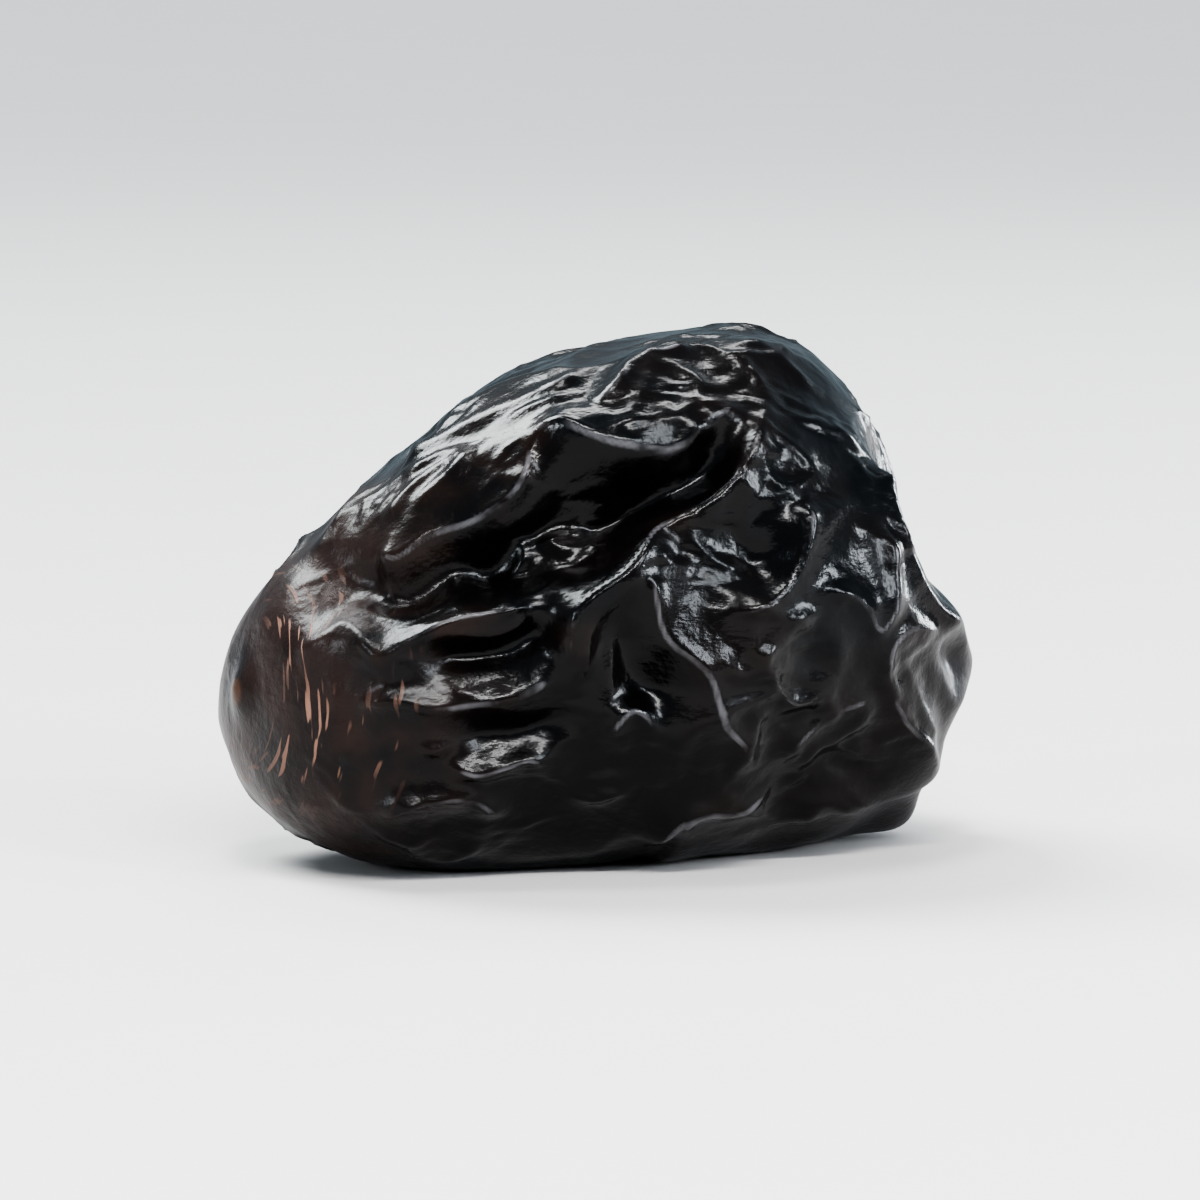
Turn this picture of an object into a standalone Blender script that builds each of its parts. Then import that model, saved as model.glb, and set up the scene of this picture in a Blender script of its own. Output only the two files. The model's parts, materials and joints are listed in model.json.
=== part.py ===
"""One dried ajwa date, lying on its side.

The fruit is one piece: flesh and skin grew together, so it is one closed solid. Its tip points
along -X, its stem scar along +X and +Z is up. The shape is a smooth oval body, on which hand-placed
folds, a random net of smaller wrinkles and the stem scar are raised by formulas.
"""

import math

import bmesh
import bpy
import numpy as np
from mathutils import Vector, kdtree

MM = 0.001

# The oval body, before its skin shrank into folds. Every size below is in millimetres.
LENGTH = 30.6
WIDTH = 20.8
HEIGHT = 21.5
BLUNTNESS = 2.4

# How the body departs from an even oval: place along it, from the tip at -1 to the stem end at 1, and
# the height of its axis there, or its thickness or breadth as a share of the oval's
AXIS_HEIGHTS = (
    (-1.0, -3.4), (-0.8, -3.2), (-0.6, -2.6), (-0.3, -1.1), (0.0, -0.5),
    (0.4, 0.0), (0.62, -0.4), (0.8, -2.6), (0.92, -4.0), (1.0, -4.2),
)
THICKNESSES = (
    (-1.0, 1.02), (-0.8, 0.91), (-0.6, 0.89), (-0.3, 0.93), (0.0, 0.98),
    (0.4, 1.03), (0.62, 1.06), (0.8, 0.96), (0.92, 0.78), (1.0, 0.7),
)
BREADTHS = (
    (-1.0, 1.02), (-0.8, 0.95), (-0.6, 0.94), (-0.3, 0.98), (0.0, 1.01),
    (0.4, 1.01), (0.62, 0.95), (0.8, 0.82), (0.92, 0.7), (1.0, 0.68),
)

# The mesh: squares along each edge of the cube that is blown up into the body, and how far those on
# the stem end are drawn in towards the scar
SQUARES = 31
STEM_END_GATHER = 0.30

# The narrow top of every crest, as wide as this mesh can show
CREST_ROUNDING = 0.35

# The random net of wrinkles, wide and fine: cell spacing, how much longer the cells are along the
# fruit than round it, and the width of a crest's flank and its height
WIDE_SPACING = 4.8
WIDE_STRETCH = 2.1
WIDE_FLANK = 0.95
WIDE_HEIGHT = 0.95
FINE_SPACING = 2.5
FINE_STRETCH = 1.8
FINE_FLANK = 0.5
FINE_HEIGHT = 0.6

# The middle height of the ridges, which stays on the smooth body, and the most that one can rise
MEAN_RIDGE = 0.5
CREST_LIMIT = 1.6

# The direction that the drawn front folds are seen from, and how much of the net the drawn folds hide
FRONT_TURN = math.radians(-22.0)
FRONT_RISE = math.radians(7.0)
QUIET_IN_FRONT = 0.75
QUIET_BEHIND = 0.1

# The stem end: the smooth many-cornered collar, and the sunken, domed scar with its trench
COLLAR_RADIUS = 7.4
COLLAR_CORNERS = 7
COLLAR_HEIGHT = 0.55
COLLAR_DISH = 0.45
SCAR_RADIUS = 2.2
SCAR_DEPTH = 0.45
SCAR_DOME = 0.35
TRENCH_WIDTH = 0.45
TRENCH_DEPTH = 0.75

# The tip end: a smooth patch with a small blunt point
TIP_RADIUS = 5.0
TIP_POINT = 0.45

# The flat spot that the fruit lies on: how deep it is pressed in, how softly the skin bends up from
# its edge and how steeply it starts there, and the share of the wrinkles that its weight presses out
REST_DEPTH = 0.75
REST_BEND = 0.6
REST_EDGE = 0.5
REST_SMOOTHING = 0.8

SEED = 11


def unit(vectors):
    return vectors / np.linalg.norm(vectors, axis=-1, keepdims=True)


def ramp(value, low, high):
    """0 below low, 1 above high, and a smooth rise between them."""
    share = np.clip((value - low) / (high - low), 0.0, 1.0)
    return share * share * (3.0 - 2.0 * share)


def waves(points, length, seed, count=14):
    """A smooth random field of about that wavelength: the sum of plane waves in random directions."""
    rng = np.random.default_rng(seed)
    directions = unit(rng.normal(size=(count, 3)))
    turns = 2.0 * math.pi / (length * rng.uniform(0.75, 1.35, count))
    phases = rng.uniform(0.0, 2.0 * math.pi, count)
    return np.sin(points @ (directions * turns[:, None]).T + phases).sum(axis=1) * math.sqrt(2.0 / count)


def wander(points, length, reach, seed):
    """The points moved aside by a smooth random field, so that what is drawn on them meanders."""
    shift = [waves(points, length, seed + axis) for axis in range(3)]
    return points + reach * np.stack(shift, axis=1)


def crest(distance, flank, rounding=CREST_ROUNDING):
    """A ridge's height at a distance from its line: a narrow rounded top and hollow flanks."""
    return np.exp(-(np.sqrt(distance**2 + rounding**2) - rounding) / flank)


def smooth_route(route, steps=6):
    """Points of a smooth curve through the route's own points."""
    ends = [2 * Vector(route[0]) - Vector(route[1]), 2 * Vector(route[-1]) - Vector(route[-2])]
    stations = [ends[0], *[Vector(point) for point in route], ends[1]]
    line = []
    for before, start, end, after in zip(stations, stations[1:], stations[2:], stations[3:]):
        for step in range(steps):
            t = step / steps
            bend = (2 * before - 5 * start + 4 * end - after) * t * t
            twist = (3 * start - before - 3 * end + after) * t**3
            line.append((2 * start + (end - before) * t + bend + twist) / 2)
    return np.array([*line, stations[-2]])


def along_body(stations, place):
    """The value at each place along the body, smooth between the stations."""
    line = smooth_route(stations, 12)
    return np.interp(place, line[:, 0], line[:, 1])


# The smooth body


def ball_directions(squares):
    """A ball made from a cube, as unit directions and its square faces. It has finer squares at +X."""
    bm = bmesh.new()
    bmesh.ops.create_cube(bm, size=2.0)
    bmesh.ops.subdivide_edges(bm, edges=bm.edges[:], cuts=squares - 1, use_grid_fill=True)
    bm.verts.index_update()
    cube = np.array([vertex.co for vertex in bm.verts])
    faces = [[vertex.index for vertex in face.verts] for face in bm.faces]
    bm.free()
    on_stem_face = cube[:, 0] > 0.999
    edge_share = np.abs(cube[:, 1:]).max(axis=1)
    pull = np.where(on_stem_face, 1.0 - STEM_END_GATHER * (1.0 - edge_share**2), 1.0)
    cube[:, 1:] *= pull[:, None]
    return unit(np.tan(cube * math.pi / 4.0)), faces


def smooth_body(directions):
    """Points of the unwrinkled body in each direction, and the outward normals there."""
    around = np.hypot(directions[:, 1], directions[:, 2])
    blunt = (np.abs(directions[:, 0]) ** BLUNTNESS + around**BLUNTNESS) ** (-1.0 / BLUNTNESS)
    shape = directions * blunt[:, None]
    half = np.array([LENGTH, WIDTH, HEIGHT]) / 2.0
    points = shape * half
    points[:, 1] *= along_body(BREADTHS, shape[:, 0])
    points[:, 2] *= along_body(THICKNESSES, shape[:, 0])
    points[:, 2] += along_body(AXIS_HEIGHTS, shape[:, 0])
    normals = unit(np.sign(shape) * np.abs(shape) ** (BLUNTNESS - 1.0) / half)
    return points, normals


# Swells and hollows: centre on the body as (x, y, z), radius and height
SWELLS = (
    ((13.0, -5.5, -3.5), 3.0, 1.1),
    ((12.8, -4.5, 2.0), 3.8, -2.0),
    ((13.6, 1.0, 1.6), 3.4, -1.2),
    ((-13.0, 3.0, 2.0), 4.0, -0.8),
    ((-9.0, -2.0, 7.0), 5.0, -0.4),
    ((-2.0, 9.5, 4.0), 6.0, -0.6),
    ((8.0, 8.5, -3.0), 5.0, 0.4),
    ((-6.0, -8.5, -3.5), 5.0, 0.4),
    ((5.0, -9.0, -4.0), 4.5, -0.5),
    ((0.0, 3.0, 10.5), 4.0, -0.4),
    ((-6.0, 6.0, -6.0), 5.0, -0.4),
)


def swells(points):
    total = np.zeros(len(points))
    for centre, radius, height in SWELLS:
        away = ((points - np.array(centre)) ** 2).sum(axis=1)
        total += height * np.exp(-away / radius**2)
    return total


# Folds laid out by hand, each on a view of the fruit: route as (right, up) from the view's centre
# line and the resting plane, then height, flank on the left of the route and flank on its right
FRONT_FOLDS = (
    (((-9.7, 12.2), (-8.3, 11.9), (-7.0, 12.4), (-5.3, 13.1), (-3.7, 14.7), (-2.6, 15.8), (-0.3, 15.8),
      (2.0, 15.5), (3.6, 16.2), (5.2, 17.5)), 1.5, 1.6, 0.7),
    (((5.6, 17.1), (5.0, 15.0), (4.0, 14.0), (2.0, 12.7), (0.9, 11.4), (-0.4, 10.2), (-1.2, 8.6),
      (-1.6, 7.2)), 1.8, 0.7, 0.55),
    (((2.1, 12.7), (2.3, 11.6), (3.0, 11.1)), 0.7, 0.6, 0.6),
    (((-12.6, 8.3), (-11.3, 8.6), (-10.1, 9.3), (-9.1, 9.0), (-8.1, 8.1), (-7.2, 8.5), (-6.2, 9.4),
      (-4.5, 9.9), (-2.4, 9.8)), 1.3, 0.8, 0.9),
    (((-10.2, 10.0), (-8.6, 9.8), (-7.0, 9.2)), 0.7, 0.5, 0.5),
    (((7.4, 14.2), (7.6, 13.1), (7.3, 11.8), (6.5, 10.6), (5.4, 10.0), (4.2, 9.5)), 1.3, 1.0, 0.7),
    (((7.8, 10.6), (9.1, 10.2), (9.7, 9.4), (10.2, 8.5), (10.8, 9.6), (10.9, 11.4), (10.7, 13.0)),
     1.0, 0.7, 0.8),
    (((12.9, 9.5), (11.5, 8.7), (10.7, 7.7), (10.9, 6.3), (11.6, 5.0), (12.8, 3.8)), 1.0, 0.8, 1.0),
    (((11.2, 16.0), (11.7, 13.4), (12.5, 10.6), (13.4, 8.8), (14.4, 7.8)), 1.0, 0.9, 0.7),
    (((-6.6, 3.9), (-5.1, 3.3), (-3.9, 3.7), (-2.9, 4.1), (-1.8, 3.4)), 1.0, 0.7, 0.5),
    (((-1.7, 5.2), (-1.5, 4.0)), 0.8, 0.4, 0.4),
    (((-0.4, 4.2), (0.2, 5.0), (1.0, 5.7), (1.8, 5.3), (1.6, 4.4)), 1.0, 0.5, 0.5),
    (((0.8, 0.9), (2.5, 1.9), (4.2, 2.5), (5.8, 2.7), (6.6, 2.4)), 1.0, 0.7, 0.7),
    (((1.3, 11.3), (2.3, 9.0), (3.6, 7.0), (4.6, 5.2), (6.4, 3.6)), 1.1, 0.9, 0.8),
    (((1.1, 11.2), (0.6, 8.5), (-0.3, 4.6)), 0.7, 0.9, 0.9),
    (((-8.4, 15.3), (-6.8, 16.2), (-4.5, 17.0), (-2.6, 18.0), (-0.6, 19.0)), 0.9, 0.8, 0.8),
    (((-0.9, 17.0), (0.8, 18.2), (2.4, 19.4), (3.4, 20.4)), 1.0, 0.8, 0.8),
    (((-9.0, 13.0), (-7.4, 14.2), (-5.5, 15.0), (-5.9, 13.4)), 0.8, 0.6, 0.6),
    (((10.6, 6.6), (8.9, 5.9), (7.6, 4.9), (6.6, 3.4)), 0.9, 0.8, 0.8),
    (((-9.6, 6.6), (-7.9, 6.5), (-6.2, 5.6), (-4.4, 6.0), (-2.6, 7.0), (-1.6, 7.2)), 1.0, 0.8, 0.7),
    (((-9.0, 1.8), (-7.2, 2.6), (-5.2, 2.2), (-3.4, 1.2)), 0.9, 0.7, 0.7),
    (((5.4, 10.0), (5.2, 8.2), (6.2, 6.8), (7.6, 6.4), (9.2, 7.4)), 0.8, 0.7, 0.7),
    (((7.0, 1.2), (8.6, 2.2), (10.2, 1.8), (8.8, 0.6)), 0.8, 0.6, 0.6),
)
# Hollows laid out in the same way: route, depth and half width
FRONT_HOLLOWS = (
    (((-10.6, 10.7), (-7.5, 11.0), (-3.6, 12.6), (0.4, 14.0), (3.6, 15.2)), -1.3, 1.5),
    (((-5.6, 7.8), (-2.5, 8.4)), -0.7, 1.1),
    (((3.2, 12.6), (5.8, 11.8)), -0.8, 1.2),
    (((-5.0, 4.8), (-2.4, 5.6)), -0.6, 1.0),
    (((1.2, 8.6), (1.8, 6.6)), -0.7, 1.2),
    (((13.0, 7.4), (13.0, 5.0)), -0.8, 1.0),
    (((-4.2, 11.2), (-2.0, 11.5), (-0.2, 12.4), (1.6, 13.7)), -0.9, 1.0),
    (((-1.5, 16.2), (0.6, 16.1), (3.0, 16.4)), 0.7, 1.1),
)
BACK_FOLDS = (
    (((-12.0, 9.0), (-10.2, 11.4), (-7.6, 12.3), (-5.2, 11.6), (-3.4, 12.6), (-0.8, 14.6), (1.6, 14.9)),
     1.2, 1.2, 0.6),
    (((-3.4, 12.6), (-1.9, 11.4), (0.6, 11.0), (2.4, 11.9), (5.0, 11.7), (7.4, 10.2), (9.2, 9.9)),
     1.1, 0.7, 1.0),
    (((-9.6, 6.9), (-8.0, 8.2), (-5.9, 8.0), (-4.4, 6.6), (-1.8, 6.3), (0.2, 7.4), (1.5, 8.9), (0.6, 11.0)),
     1.0, 0.6, 1.0),
    (((0.2, 7.4), (2.4, 6.2), (4.6, 6.5), (6.3, 5.3), (9.0, 4.9)), 0.8, 0.8, 0.6),
    (((-8.0, 8.2), (-8.6, 9.9), (-7.6, 12.3)), 0.7, 0.7, 0.7),
    (((-9.0, 16.6), (-6.4, 16.0), (-4.2, 17.3), (-1.5, 17.6), (0.4, 16.8), (3.0, 17.0)), 0.9, 1.0, 0.6),
    (((-4.2, 17.3), (-4.9, 19.0), (-3.9, 20.3)), 0.7, 0.7, 0.7),
    (((-6.4, 3.2), (-4.0, 4.4), (-1.8, 6.3)), 0.8, 0.7, 0.9),
    (((4.6, 6.5), (5.6, 8.3), (5.0, 11.7)), 0.7, 0.8, 0.6),
    (((-12.2, 5.5), (-10.6, 5.0), (-9.6, 6.9)), 0.8, 0.7, 0.7),
    (((7.4, 10.2), (8.8, 12.0), (8.0, 13.4)), 0.6, 0.7, 0.7),
    (((-9.8, 3.6), (-8.2, 2.6), (-6.4, 3.2)), 0.7, 0.7, 0.7),
    (((-4.0, 4.4), (-2.4, 3.0), (0.0, 3.4), (2.2, 2.4), (4.6, 2.9)), 0.8, 0.8, 0.7),
    (((2.2, 2.4), (3.2, 4.2), (4.6, 6.5)), 0.6, 0.7, 0.7),
    (((6.3, 5.3), (7.2, 3.6), (9.0, 3.0)), 0.6, 0.7, 0.7),
)
BACK_HOLLOWS = (
    (((-6.4, 10.1), (-3.6, 9.6), (-1.6, 9.3)), -0.7, 1.3),
    (((-0.6, 12.9), (2.0, 13.2), (4.6, 13.4)), -0.6, 1.1),
    (((2.6, 9.2), (3.6, 8.6)), -0.5, 1.1),
    (((6.4, 7.6), (8.6, 7.4)), -0.4, 1.1),
)


def view_axes(turn, rise):
    """The right, up and towards-the-viewer directions of a look at the fruit."""
    level = math.cos(rise)
    towards = np.array([math.sin(turn) * level, -math.cos(turn) * level, math.sin(rise)])
    right = np.array([math.cos(turn), math.sin(turn), 0.0])
    return right, np.cross(towards, right), towards


def route_distance(flat, line):
    """Distance of flat points from a line, their side from -1 to 1, and how far from its ends they are."""
    best = np.full(len(flat), 1e9)
    side = np.zeros(len(flat))
    along = np.zeros(len(flat))
    walked = 0.0
    for start, end in zip(line, line[1:]):
        span = end - start
        length = np.linalg.norm(span)
        share = np.clip((flat - start) @ span / length**2, 0.0, 1.0)
        offset = flat - start - share[:, None] * span
        away = np.linalg.norm(offset, axis=1)
        nearer = away < best
        best = np.where(nearer, away, best)
        turned = span[0] * offset[:, 1] - span[1] * offset[:, 0]
        side = np.where(nearer, turned / (length * away + 1e-9), side)
        along = np.where(nearer, walked + share * length, along)
        walked += length
    return best, side, np.minimum(along, walked - along)


def highest(heights):
    """The heights of several ridges joined softly: where two cross, they don't add up to a spike."""
    return (np.abs(np.stack(heights)) ** 3).sum(axis=0) ** (1.0 / 3.0)


def drawn_folds(points, normals, folds, hollows, turn):
    """The ridges and, apart, the hollows that are drawn on one view, on the side that faces it."""
    right, up, towards = view_axes(turn, FRONT_RISE)
    bent = wander(points, 4.0, 0.18, SEED)
    flat = np.stack([bent @ right, bent @ up], axis=1)
    facing = ramp(normals @ towards, -0.05, 0.35)
    ridges = []
    for route, height, left_flank, right_flank in folds:
        distance, side, from_end = route_distance(flat, smooth_route(route))
        flank = (left_flank + right_flank + side * (left_flank - right_flank)) / 2.0
        ridges.append(height * crest(distance, flank) * (0.25 + 0.75 * ramp(from_end, 0.0, 1.2)))
    hollow = np.zeros(len(points))
    for route, depth, half_width in hollows:
        distance, _, _ = route_distance(flat, smooth_route(route))
        hollow += depth * np.exp(-((distance / half_width) ** 2))
    return highest(ridges) * facing, hollow * facing


# The random net of wrinkles

def net_seeds(spacing, stretch, seed):
    """Cell centres spread evenly over the body, further apart along it than round it."""
    rng = np.random.default_rng(seed)
    tries, _ = smooth_body(unit(rng.normal(size=(6000, 3))))
    tries[:, 0] /= stretch
    kept = np.empty((0, 3))
    for point in tries:
        if not len(kept) or np.linalg.norm(kept - point, axis=1).min() > spacing:
            kept = np.vstack([kept, point])
    return kept


def net(points, spacing, flank, stretch, seed, quiet=0.3):
    """Crests between the cells of a random net: 1 on the highest, and each with a height of its own."""
    seeds = net_seeds(spacing, stretch, seed)
    tree = kdtree.KDTree(len(seeds))
    for index, point in enumerate(seeds):
        tree.insert(point, index)
    tree.balance()
    rng = np.random.default_rng(seed + 1)
    edge_height = rng.random((len(seeds), len(seeds)))
    edge_height = ramp((edge_height + edge_height.T) / 2.0, quiet - 0.1, 0.8)
    bent = wander(points, spacing * 2.2, spacing * 0.22, seed + 2)
    bent = wander(bent, spacing * 0.9, spacing * 0.08, seed + 7)
    bent[:, 0] /= stretch
    near = [tree.find_n(point, 4) for point in bent]
    index = np.array([[found[1] for found in row] for row in near])
    squared = np.array([[found[2] for found in row] for row in near]) ** 2
    distance = (squared[:, 1] - squared[:, 0]) / (2.0 * spacing)
    weight = np.exp(-(squared - squared[:, :1]) / (0.35 * spacing**2))
    height = np.zeros(len(points))
    share = np.full(len(points), 1e-9)
    for a in range(4):
        for b in range(a + 1, 4):
            pair = weight[:, a] * weight[:, b]
            height += pair * edge_height[index[:, a], index[:, b]]
            share += pair
    return height / share * crest(distance, flank)


# The two ends


def collar_radius(angle):
    """The rounded, many-cornered edge of the smooth skin round the stem scar."""
    corners = np.abs(np.sin(0.5 * COLLAR_CORNERS * angle + 0.8 * np.sin(angle + 1.0)))
    return COLLAR_RADIUS * (0.93 + 0.12 * (1.0 - corners))


def stem_end(points):
    """The height of the collar, trench and scar, and the share of wrinkles that is left there."""
    across = points[:, 1]
    up = points[:, 2] - AXIS_HEIGHTS[-1][1]
    radius = np.where(points[:, 0] > 0.0, np.hypot(across, up), 99.0)
    edge = collar_radius(np.arctan2(up, across))
    rim = COLLAR_HEIGHT * crest(radius - edge, 0.9)
    dish = -COLLAR_DISH * ramp(edge - radius, 0.0, 3.0)
    on_collar = ramp(radius, 2.5, 4.0) * ramp(edge - radius, -0.5, 1.5)
    pleats = 0.22 * waves(points, 4.0, SEED + 500) * on_collar
    scar_edge = SCAR_RADIUS * (1.0 + 0.07 * waves(points, 3.2, SEED + 510))
    trench_depth = TRENCH_DEPTH * (1.0 + 0.35 * waves(points, 2.4, SEED + 520))
    trench = -trench_depth * np.exp(-(((radius - scar_edge - TRENCH_WIDTH) / TRENCH_WIDTH) ** 2))
    dome = SCAR_DOME * (1.0 - np.clip(radius / scar_edge, 0.0, 1.0) ** 2)
    scar = (dome - SCAR_DEPTH + 0.07 * waves(points, 1.6, SEED + 530)) * ramp(scar_edge - radius, -0.2, 0.2)
    return rim + dish + pleats + trench + scar, ramp(radius - edge, -0.8, 1.0)


def tip_end(points):
    """The height of the blunt point at the tip, and the share of wrinkles that is left near it."""
    from_tip = np.hypot(points[:, 1], points[:, 2] - AXIS_HEIGHTS[0][1])
    radius = np.where(points[:, 0] < 0.0, from_tip, 99.0)
    return TIP_POINT * np.exp(-((radius / 0.9) ** 2)), 0.12 + 0.88 * ramp(radius - TIP_RADIUS, -1.5, 3.5)


# The whole skin


def wrinkled_skin(directions):
    """Points of the skin, with its folds, in each direction."""
    points, normals = smooth_body(directions)
    stem_height, stem_share = stem_end(points)
    tip_height, tip_share = tip_end(points)
    raised = points + np.array([0.0, 0.0, HEIGHT / 2.0])
    front, front_hollow = drawn_folds(raised, normals, FRONT_FOLDS, FRONT_HOLLOWS, FRONT_TURN)
    back, back_hollow = drawn_folds(raised, normals, BACK_FOLDS, BACK_HOLLOWS, FRONT_TURN + math.pi)
    _, _, towards = view_axes(FRONT_TURN, FRONT_RISE)
    facing = normals @ towards
    share = 1.0 - QUIET_IN_FRONT * ramp(facing, 0.1, 0.6) - QUIET_BEHIND * ramp(-facing, 0.1, 0.6)
    wide = WIDE_HEIGHT * net(points, WIDE_SPACING, WIDE_FLANK, WIDE_STRETCH, SEED + 100) * share
    fine = FINE_HEIGHT * net(points, FINE_SPACING, FINE_FLANK, FINE_STRETCH, SEED + 200) * share
    fine *= ramp(waves(points, 12.0, SEED + 300), -1.2, 0.6)
    ridges = CREST_LIMIT * np.tanh((highest([front, back, wide]) + fine) / CREST_LIMIT)
    wrinkled = stem_share * tip_share * (1.0 - REST_SMOOTHING * ramp(-normals[:, 2], 0.7, 0.95))
    slow = swells(points) + 0.3 * waves(points, 13.0, SEED + 400)
    height = (ridges - MEAN_RIDGE) * wrinkled + front_hollow + back_hollow + stem_height + tip_height + slow
    return points + normals * height[:, None]


def settle(points):
    """The fruit set down on its flat spot, with the origin under the middle of its box."""
    above = points[:, 2] - points[:, 2].min() - REST_DEPTH
    bend = np.clip(above, 0.0, REST_BEND)
    lost = (1.0 - REST_EDGE) * (bend - bend**2 / (2.0 * REST_BEND))
    settled = points.copy()
    settled[:, 2] = np.maximum(above, 0.0) - lost
    middle = (settled.min(axis=0) + settled.max(axis=0)) / 2.0
    settled[:, :2] -= middle[:2]
    return settled


def skin_material():
    material = bpy.data.materials.new("date_skin")
    material.use_nodes = True
    shader = material.node_tree.nodes["Principled BSDF"]
    shader.inputs["Base Color"].default_value = (0.016, 0.011, 0.011, 1.0)
    shader.inputs["Roughness"].default_value = 0.3
    shader.inputs["Metallic"].default_value = 0.0
    return material


def build():
    for old in list(bpy.data.objects):
        bpy.data.objects.remove(old, do_unlink=True)
    directions, faces = ball_directions(SQUARES)
    points = settle(wrinkled_skin(directions)) * MM
    mesh = bpy.data.meshes.new("date_fruit")
    mesh.from_pydata(points.tolist(), [], faces)
    mesh.materials.append(skin_material())
    mesh.shade_smooth()
    fruit = bpy.data.objects.new("date_fruit", mesh)
    bpy.context.scene.collection.objects.link(fruit)


build()
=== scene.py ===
# %% [markdown]
# # An ajwa date, in Geometry Nodes, numpy and procedural materials
#
# An ajwa date is a small, blunt, almost black fruit. As it dries, the flesh shrinks and the skin,
# which can't shrink as much, gathers into sharp folds with smooth hollows between them. In this
# lesson we make that skin as one closed mesh, let Geometry Nodes add what is finer than the folds,
# give it a glossy finish that is nowhere one flat colour, and light it on a plain pale floor.
#
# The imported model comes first. It says where the fruit lies and how large it is, and every piece
# below stays inside that size.

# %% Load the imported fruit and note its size
import json
import math

import bmesh
import bpy
import numpy as np
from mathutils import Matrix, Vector, kdtree

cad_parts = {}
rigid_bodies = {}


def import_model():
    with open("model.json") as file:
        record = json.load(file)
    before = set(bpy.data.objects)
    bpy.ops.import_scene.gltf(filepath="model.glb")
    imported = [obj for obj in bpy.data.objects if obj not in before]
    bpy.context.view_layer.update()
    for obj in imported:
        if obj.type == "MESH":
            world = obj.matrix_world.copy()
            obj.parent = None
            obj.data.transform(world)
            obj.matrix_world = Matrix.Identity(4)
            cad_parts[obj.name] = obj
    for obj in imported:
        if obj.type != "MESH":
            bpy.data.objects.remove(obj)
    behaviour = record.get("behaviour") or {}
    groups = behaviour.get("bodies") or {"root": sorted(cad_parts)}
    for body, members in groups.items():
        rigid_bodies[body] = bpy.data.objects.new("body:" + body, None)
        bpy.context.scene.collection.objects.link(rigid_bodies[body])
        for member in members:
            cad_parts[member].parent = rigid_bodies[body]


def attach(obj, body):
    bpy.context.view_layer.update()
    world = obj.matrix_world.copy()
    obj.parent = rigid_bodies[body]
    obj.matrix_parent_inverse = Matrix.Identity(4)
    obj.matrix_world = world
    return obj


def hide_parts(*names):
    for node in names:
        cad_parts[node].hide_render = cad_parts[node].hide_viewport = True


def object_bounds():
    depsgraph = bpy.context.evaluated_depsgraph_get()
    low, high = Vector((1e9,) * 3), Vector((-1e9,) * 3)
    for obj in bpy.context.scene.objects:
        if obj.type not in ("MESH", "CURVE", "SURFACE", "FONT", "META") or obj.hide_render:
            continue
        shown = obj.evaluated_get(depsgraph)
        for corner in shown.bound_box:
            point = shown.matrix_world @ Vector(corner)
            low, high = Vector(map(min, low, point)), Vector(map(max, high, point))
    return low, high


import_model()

packed_box = [list(corner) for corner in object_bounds()]
print("packed size in mm:", [round(1000 * (high - low), 1) for low, high in zip(*packed_box)])

# %% [markdown]
# ## Small helpers
#
# The shape is worked out in numpy, for all points at once, and in millimetres, which suit a fruit.
# Only the finished points are turned into metres. A smooth random field is a sum of sine waves that
# run in random directions: it costs little, has no grid, and gives the same values each time,
# because its seed is fixed.

# %% Helpers for vectors, ramps and smooth random fields
MM = 0.001
SEED = 11


def unit(vectors):
    return vectors / np.linalg.norm(vectors, axis=-1, keepdims=True)


def ramp(value, low, high):
    """0 below low, 1 above high, and a smooth rise between them."""
    share = np.clip((value - low) / (high - low), 0.0, 1.0)
    return share * share * (3.0 - 2.0 * share)


def waves(points, length, seed, count=14):
    """A smooth random field of about that wavelength."""
    rng = np.random.default_rng(seed)
    directions = unit(rng.normal(size=(count, 3)))
    turns = 2.0 * math.pi / (length * rng.uniform(0.75, 1.35, count))
    phases = rng.uniform(0.0, 2.0 * math.pi, count)
    return np.sin(points @ (directions * turns[:, None]).T + phases).sum(axis=1) * math.sqrt(2.0 / count)


def wander(points, length, reach, seed):
    """The points moved aside by a smooth random field, so that what is drawn on them meanders."""
    shift = [waves(points, length, seed + axis) for axis in range(3)]
    return points + reach * np.stack(shift, axis=1)


# %% [markdown]
# ## A ball of even squares
#
# A fruit has no seam and no pole, so a UV sphere, whose faces crowd at two points, would show them
# as pinches in a glossy skin. A cube that is divided into squares and then blown up into a ball has
# faces of nearly one size all over. 124 squares along each edge make 184,512 triangles, each about
# 0.2 mm across, which is as fine as one piece may be here. The squares on the +X face are drawn in
# towards its middle, because the small details of the stem scar are there.

# %% Blow a cube up into a ball
SQUARES = 124
STEM_END_GATHER = 0.30


def ball_directions(squares):
    """A ball made from a cube, as unit directions and its square faces."""
    bm = bmesh.new()
    bmesh.ops.create_cube(bm, size=2.0)
    bmesh.ops.subdivide_edges(bm, edges=bm.edges[:], cuts=squares - 1, use_grid_fill=True)
    bm.verts.index_update()
    cube = np.array([vertex.co for vertex in bm.verts])
    faces = [[vertex.index for vertex in face.verts] for face in bm.faces]
    bm.free()
    on_stem_face = cube[:, 0] > 0.999
    edge_share = np.abs(cube[:, 1:]).max(axis=1)
    pull = np.where(on_stem_face, 1.0 - STEM_END_GATHER * (1.0 - edge_share**2), 1.0)
    cube[:, 1:] *= pull[:, None]
    return unit(np.tan(cube * math.pi / 4.0)), faces


directions, faces = ball_directions(SQUARES)
print("ball:", len(directions), "points,", len(faces), "squares")

# %% [markdown]
# ## The body before it dried
#
# The plump fruit was a blunt oval. A superellipse, whose power is above 2, is blunter than an
# ellipse. Three short tables then say how this fruit departs from an even oval along its length: how
# high its axis runs, how thick it is and how broad it is. A smooth curve runs through each table.

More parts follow.
